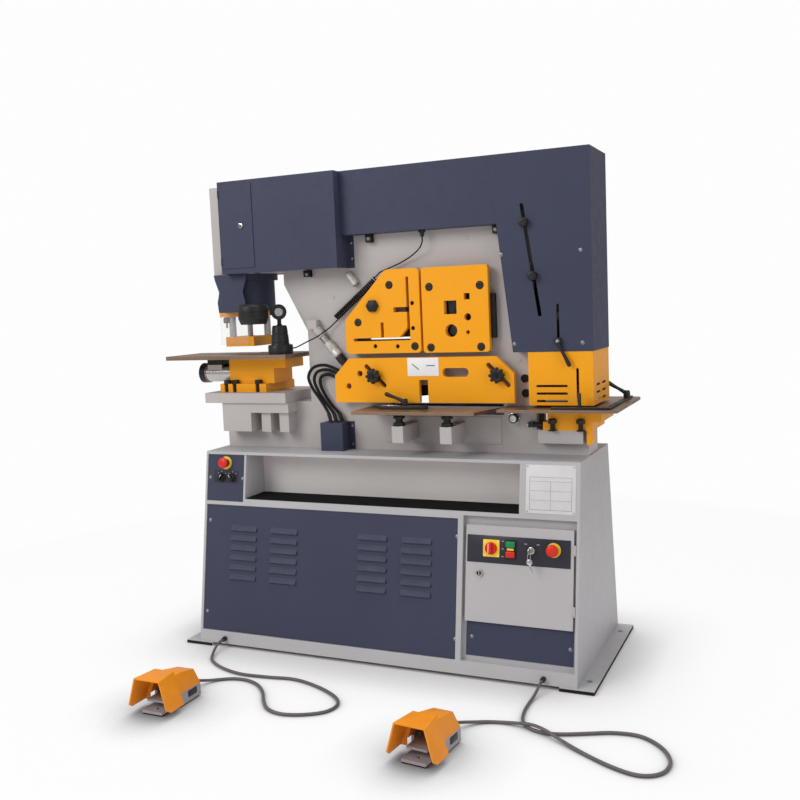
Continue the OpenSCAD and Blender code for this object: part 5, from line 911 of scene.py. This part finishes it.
for x, y in oval(0, 0, 34, 34, 12):
    lathe(bm, [(0, -1.6), (2.6, -1.4), (3.6, -0.6), (4, 0.6)], HEAD + Vector((x, y, 4.0)), Z, 14, 1)
put("lamp_light", bm, [m_black, m_chrome, m_white], "lamp_head", ("lamp_head",))

# ---- hoses and cable glands
HOSES = [[(-178.2, -80, 1046), (-189, -80, 1046), (-200, -80, 1046), (-258, -92, 1072), (-305, -106, 1066),
          (-327, -112, 1032), (-314, -112, 990), (-275, -112, 935), (-246, -112, 888), (-240, -112, 860)],
         [(-178.2, -80, 1030), (-189, -80, 1030), (-200, -80, 1030), (-254, -86, 1054), (-296, -94, 1048),
          (-311, -97, 1018), (-298, -97, 978), (-262, -97, 926), (-232, -97, 886), (-224, -97, 860)],
         [(-178.2, -80, 1014), (-189, -80, 1014), (-200, -80, 1014), (-250, -81, 1035), (-284, -82, 1030),
          (-294, -82, 1004), (-280, -82, 966), (-248, -82, 918), (-216, -82, 884), (-207, -82, 860)]]
bm = bmesh.new()
for route in HOSES:
    sweep(bm, smooth_path(route, 7), 6, 18)
    top, low = Vector(route[0]), Vector(route[-1])
    lathe(bm, [(0, 0), (7.4, 0), (7.8, 3, hexed), (7.8, 9, hexed), (7, 10), (7, 12), (7.6, 12.6), (7.6, 17),
               (7.2, 17.6), (7.2, 19), (7.6, 19.6), (7.6, 25), (6, 26)], top, -X, 36, 1)
    d = (low - Vector(route[-2])).normalized()
    lathe(bm, [(6, -30), (7.6, -29), (7.6, -22), (7.2, -21.4), (7.2, -20), (7.6, -19.4), (7.6, -12), (7, -11), (7, -6)],
          low, d, 30, 1)
    lathe(bm, [(0, 854), (8, 854), (8.6, 855, hexed), (8.6, 862, hexed), (7.6, 863), (0, 863)],
          (low.x, low.y, 0), Z, 36, 1)
put("hydraulic_hoses", bm, [m_rubber, m_dark], hide=("hoses",))


def ridged(a):
    return 1 + 0.03 * cos(18 * a)


def gland(bm, at, axis):
    """Cable gland: hexagon body at the wall, domed cap nut towards the cord. Height 0 is the wall, 22 the cord end."""
    lathe(bm, [(0, 0), (8.8, 0), (9.4, 0.8, hexed), (9.4, 6.4, hexed), (8.6, 7.2), (7.6, 7.6), (7.6, 9)], at, axis, 36)
    lathe(bm, [(7.6, 9), (8.8, 9.2), (8.9, 10, ridged), (8.6, 16, ridged), (7.6, 19.4), (CABLE_R + 0.8, 21.8),
               (CABLE_R, 22), (0, 22)], at, axis, 72)


PEDALS = []
for x, y, turn in ((-500, -845, 0), (447, -873, -6)):
    c, s = cos(radians(turn)), sin(radians(turn))
    PEDALS.append((Vector((x, y, 0)), Vector((c, s, 0)), Vector((-s, c, 0))))
bm = bmesh.new()
for pts in cables:
    gland(bm, pts[0] + Y * 22, -Y)
for at, _, back in PEDALS:
    gland(bm, at + Z * 30 + back * 95, back)
hex_nut(bm, (164, -100, 1547), Z, 13, 9, 0)
lathe(bm, [(2.6, 1530), (4.4, 1531), (7.4, 1535), (8, 1540), (8, 1547)], (164, -100, 0), Z, 32)
lathe(bm, [(8, 1556), (8, 1570), (0, 1570)], (164, -100, 0), Z, 28)
put("cable_glands", bm, m_black, hide=("cord_glands",))


# ---- moulded pedal hoods, rounded from the CAD solids
bm = bmesh.new()
bm.from_mesh(NODES["pedal_hoods"].data)
bm.transform(Matrix.Scale(1 / K, 4))
bmesh.ops.remove_doubles(bm, verts=bm.verts[:], dist=0.01)
bmesh.ops.dissolve_limit(bm, angle_limit=0.02, verts=bm.verts[:], edges=bm.edges[:])
round_edges(bm, [e for e in bm.edges if len(e.link_faces) == 2 and e.calc_face_angle(0) > 0.3], 2.6, 3)
put("hood_shells", bm, m_orange, "machine", ("pedal_hoods",))

bm = bmesh.new()
for at, across, back in PEDALS:
    for side in (-1, 1):
        window = [(side * a, b) for a, b in rrect(26, 19, 74, 41, 4)]
        prism(bm, window, at + across * (side * 55), back * side, Z, 0.8, 0.3)
    lathe(bm, [(0, 14), (7, 14), (7, 15.2), (5.6, 16.6), (3, 17), (2.6, 15.6), (0, 15.4)], at - back * 72, Z, 24, 1)
put("pedal_side_windows", bm, [m_black, m_chrome])


# ---- beam behind the moving blades
def backing(name, outer, holes):
    """Plate of the shear beam in X and Z, with holes, behind the moving blades."""
    y0, y1 = -7.9, 34
    bm = bmesh.new()
    edges = []
    for loop in [outer] + holes:
        vs = [bm.verts.new((a, y0, b)) for a, b in loop]
        edges += [bm.edges.new((vs[i], vs[(i + 1) % len(vs)])) for i in range(len(vs))]
    filled = bmesh.ops.triangle_fill(bm, use_beauty=True, edges=edges)["geom"]
    faces = [g for g in filled if isinstance(g, bmesh.types.BMFace)]
    grown = bmesh.ops.extrude_face_region(bm, geom=faces)["geom"]
    bmesh.ops.translate(bm, vec=(0, y1 - y0, 0), verts=[g for g in grown if isinstance(g, bmesh.types.BMVert)])
    put(name, bm, m_beam, "shear_beam")


backing("angle_blade_backing",
        [(-131.5, 1150.5), (113.5, 1150.5), (113.5, 1401.5), (72.5, 1401.5), (72.5, 1191.5), (-131.5, 1191.5)],
        [[(-126, 1161.5), (106.5, 1161.5), (106.5, 1392), (95.5, 1392), (95.5, 1172.5), (-126, 1172.5)]])
backing("bar_blade_backing", rect(228.5, 1160.5, 355.5, 1331.5), [
    rect(242, 1251, 290, 1299), rect(319, 1301, 341, 1323), oval(267, 1192, 23, 23, 36), oval(331, 1239, 13, 13, 36),
    oval(330, 1185, 7, 7, 36)])
# dark ledge behind the flat-bar outlet: it closes the view through the slot, a dark piece standing in for the shade
# seen there
bm = bmesh.new()
front_plate(bm, rect(-26, 886.7, 436, 911.5), 69.5, 32.5, 1.2)
put("flat_outlet_shade_ledge", bm, m_beam)

# ---- behind the doors
bm = bmesh.new()
face_plate(bm, rrect(366, 202, 716, 502, 3), -171.2, -168.6, 0.5)
for s in (430, 318):
    face_plate(bm, rect(384, s - 17, 698, s + 17), -168.7, -161, 0.6, 1)
    for x in range(396, 690, 25):
        face_plate(bm, rrect(x, s - 3, x + 14, s + 3, 2.9), -161.2, -160.8, 0, 3)
for s0, s1 in ((474, 498), (364, 386), (254, 276)):
    face_plate(bm, rect(384, s0, 698, s1), -168.7, -120, 1.0, 2)
    for x in range(390, 696, 10):
        face_plate(bm, rect(x, s0 - 0.4, x + 4, s1 + 0.4), -160, -132, 0, 3)
for x, w, col in ((392, 46, 3), (444, 46, 3), (496, 46, 3), (552, 72, 2), (632, 56, 3)):
    face_plate(bm, rrect(x, 396, x + w, 466, 3), -161, -98, 1.6, col)
    face_plate(bm, rrect(x + 6, 410, x + w - 6, 452, 2), -98.5, -92, 1.2, 4 if col == 3 else 3)
    for k in range(3):
        for s in (402, 460):
            lathe(bm, [(0, 0), (4.2, 0), (4.2, 1), (3.4, 1.8), (0, 1.4)], F(x + w * (k + 0.5) / 3, s, -98), FN, 18, 1)
for i in range(24):
    x = 392 + i * 7.4
    face_plate(bm, rect(x, 288, x + 6.6, 346), -161, -118, 0.6, 5 if i % 8 == 7 else 2)
    for s in (300, 334):
        lathe(bm, [(0, 0), (2.4, 0), (2.4, 0.8), (0, 0.4)], F(x + 3.3, s, -118), FN, 12, 1)
face_plate(bm, rrect(592, 286, 690, 352, 4), -161, -92, 2, 3)
face_plate(bm, rrect(420, 208, 560, 246, 3), -168.7, -104, 1.6, 3)
put("switchgear", bm, [m_cast, m_chrome, m_white, m_black, m_panel, m_green])

bm = bmesh.new()
lathe(bm, [(0, 1470), (6, 1470), (6, 1766), (0, 1766)], (-548, -132, 0), Z, 24, 1)
for z in (1532, 1690):
    lathe(bm, [(6.1, z), (14, z), (14, z + 16), (6.1, z + 16)], (-548, -132, 0), Z, 32, 2)
for z in (1560, 1640):
    block(bm, (-612, -150, z), (-578, -112, z + 56), 2, 0)
    sweep(bm, [(-578, -132, z + 28), (-570, -132, z + 31), (-558, -132, z + 33)], 2.5, 12, 1)
    lathe(bm, [(0, -4), (7, -4), (7, 4), (0, 4)], (-557, -132, z + 33), Y, 24, 2)
block(bm, (-618, -110, 1545), (-572, -104.4, 1712), 1, 3)
for z in (1468, 1760):
    block(bm, (-560, -140, z), (-536, -104.4, z + 8), 1, 3)
put("limit_switch_gear", bm, [m_dark, m_chrome, m_black, m_cast])

# ---- floor, world and soft studio light, in metres
PAPER, FLOOR_HALF = (0.985, 0.985, 0.99), 14
fm = bpy.data.materials.new("pale_floor")
ground = Tree(fm, "OutputMaterial")
where = ground.node("TexCoord").outputs["Object"]
# ambient occlusion for the painted contact shadow on the floor
near = ground.node("AmbientOcclusion", {"Distance": 0.24}, samples=12).outputs["AO"]
matt = ground.node("BsdfDiffuse", {"Color": (0.80, 0.785, 0.79)}).outputs[0]
glow = ground.node("Emission", {"Color": PAPER, "Strength": ground.op("POWER", near, 2.0)}).outputs[0]
# the floor's glow is darkened by ambient occlusion, a painted contact shadow near the machine; near the base more of
# the lit floor shows with its real shadow, and the floor fades into the white ground farther out
beside = ground.vec("MAXIMUM", ground.vec("SUBTRACT", ground.vec("ABSOLUTE", where), (0.8, 0.33, 0.0)))
fade = ground.op("MAXIMUM", ground.ramp(ground.vec("LENGTH", beside), 0.0, 0.42, 0.4, 0.92, "SMOOTHSTEP"),
                 ground.ramp(ground.vec("LENGTH", where), 1.2, 3.0, 0.0, 1.0, "SMOOTHSTEP"))
ground.show(ground.op("MULTIPLY", ground.node("LightPath").outputs["Is Camera Ray"], fade), matt, glow)
me = bpy.data.meshes.new("floor")
me.from_pydata([(x, y, -0.0005) for x, y in rect(-FLOOR_HALF, -FLOOR_HALF, FLOOR_HALF, FLOOR_HALF)], [], [(0, 1, 2, 3)])
me.materials.append(fm)
floor = bpy.data.objects.new("floor", me)
scene.collection.objects.link(floor)

scene.world = bpy.data.worlds.new("studio")
sky = Tree(scene.world, "OutputWorld")
fill = sky.node("Background", {"Color": (1.0, 0.985, 0.97), "Strength": 0.5}).outputs[0]
plain = sky.node("Background", {"Color": PAPER, "Strength": 1.0}).outputs[0]
sky.show(sky.node("LightPath").outputs["Is Camera Ray"], fill, plain)


def area(name, at, target, size, power, color=(1, 1, 1)):
    la = bpy.data.lights.new(name, "AREA")
    la.shape = "RECTANGLE"
    la.size, la.size_y = size
    la.energy = power
    la.color = color
    ob = bpy.data.objects.new(name, la)
    ob.location = at
    ob.rotation_euler = (Vector(target) - Vector(at)).to_track_quat("-Z", "Y").to_euler()
    scene.collection.objects.link(ob)


area("key_light", (-2.6, -4.2, 3.7), (0, 0, 0.9), (2.6, 2.6), 150, (1.0, 0.99, 0.97))
area("right_fill", (4.2, -2.4, 2.2), (0.2, 0, 0.8), (2.2, 2.8), 30, (0.97, 0.985, 1.0))
area("top_light", (0.2, 0.4, 4.4), (0, -0.1, 0), (3.4, 2.4), 125)
scene.view_settings.view_transform = "Standard"
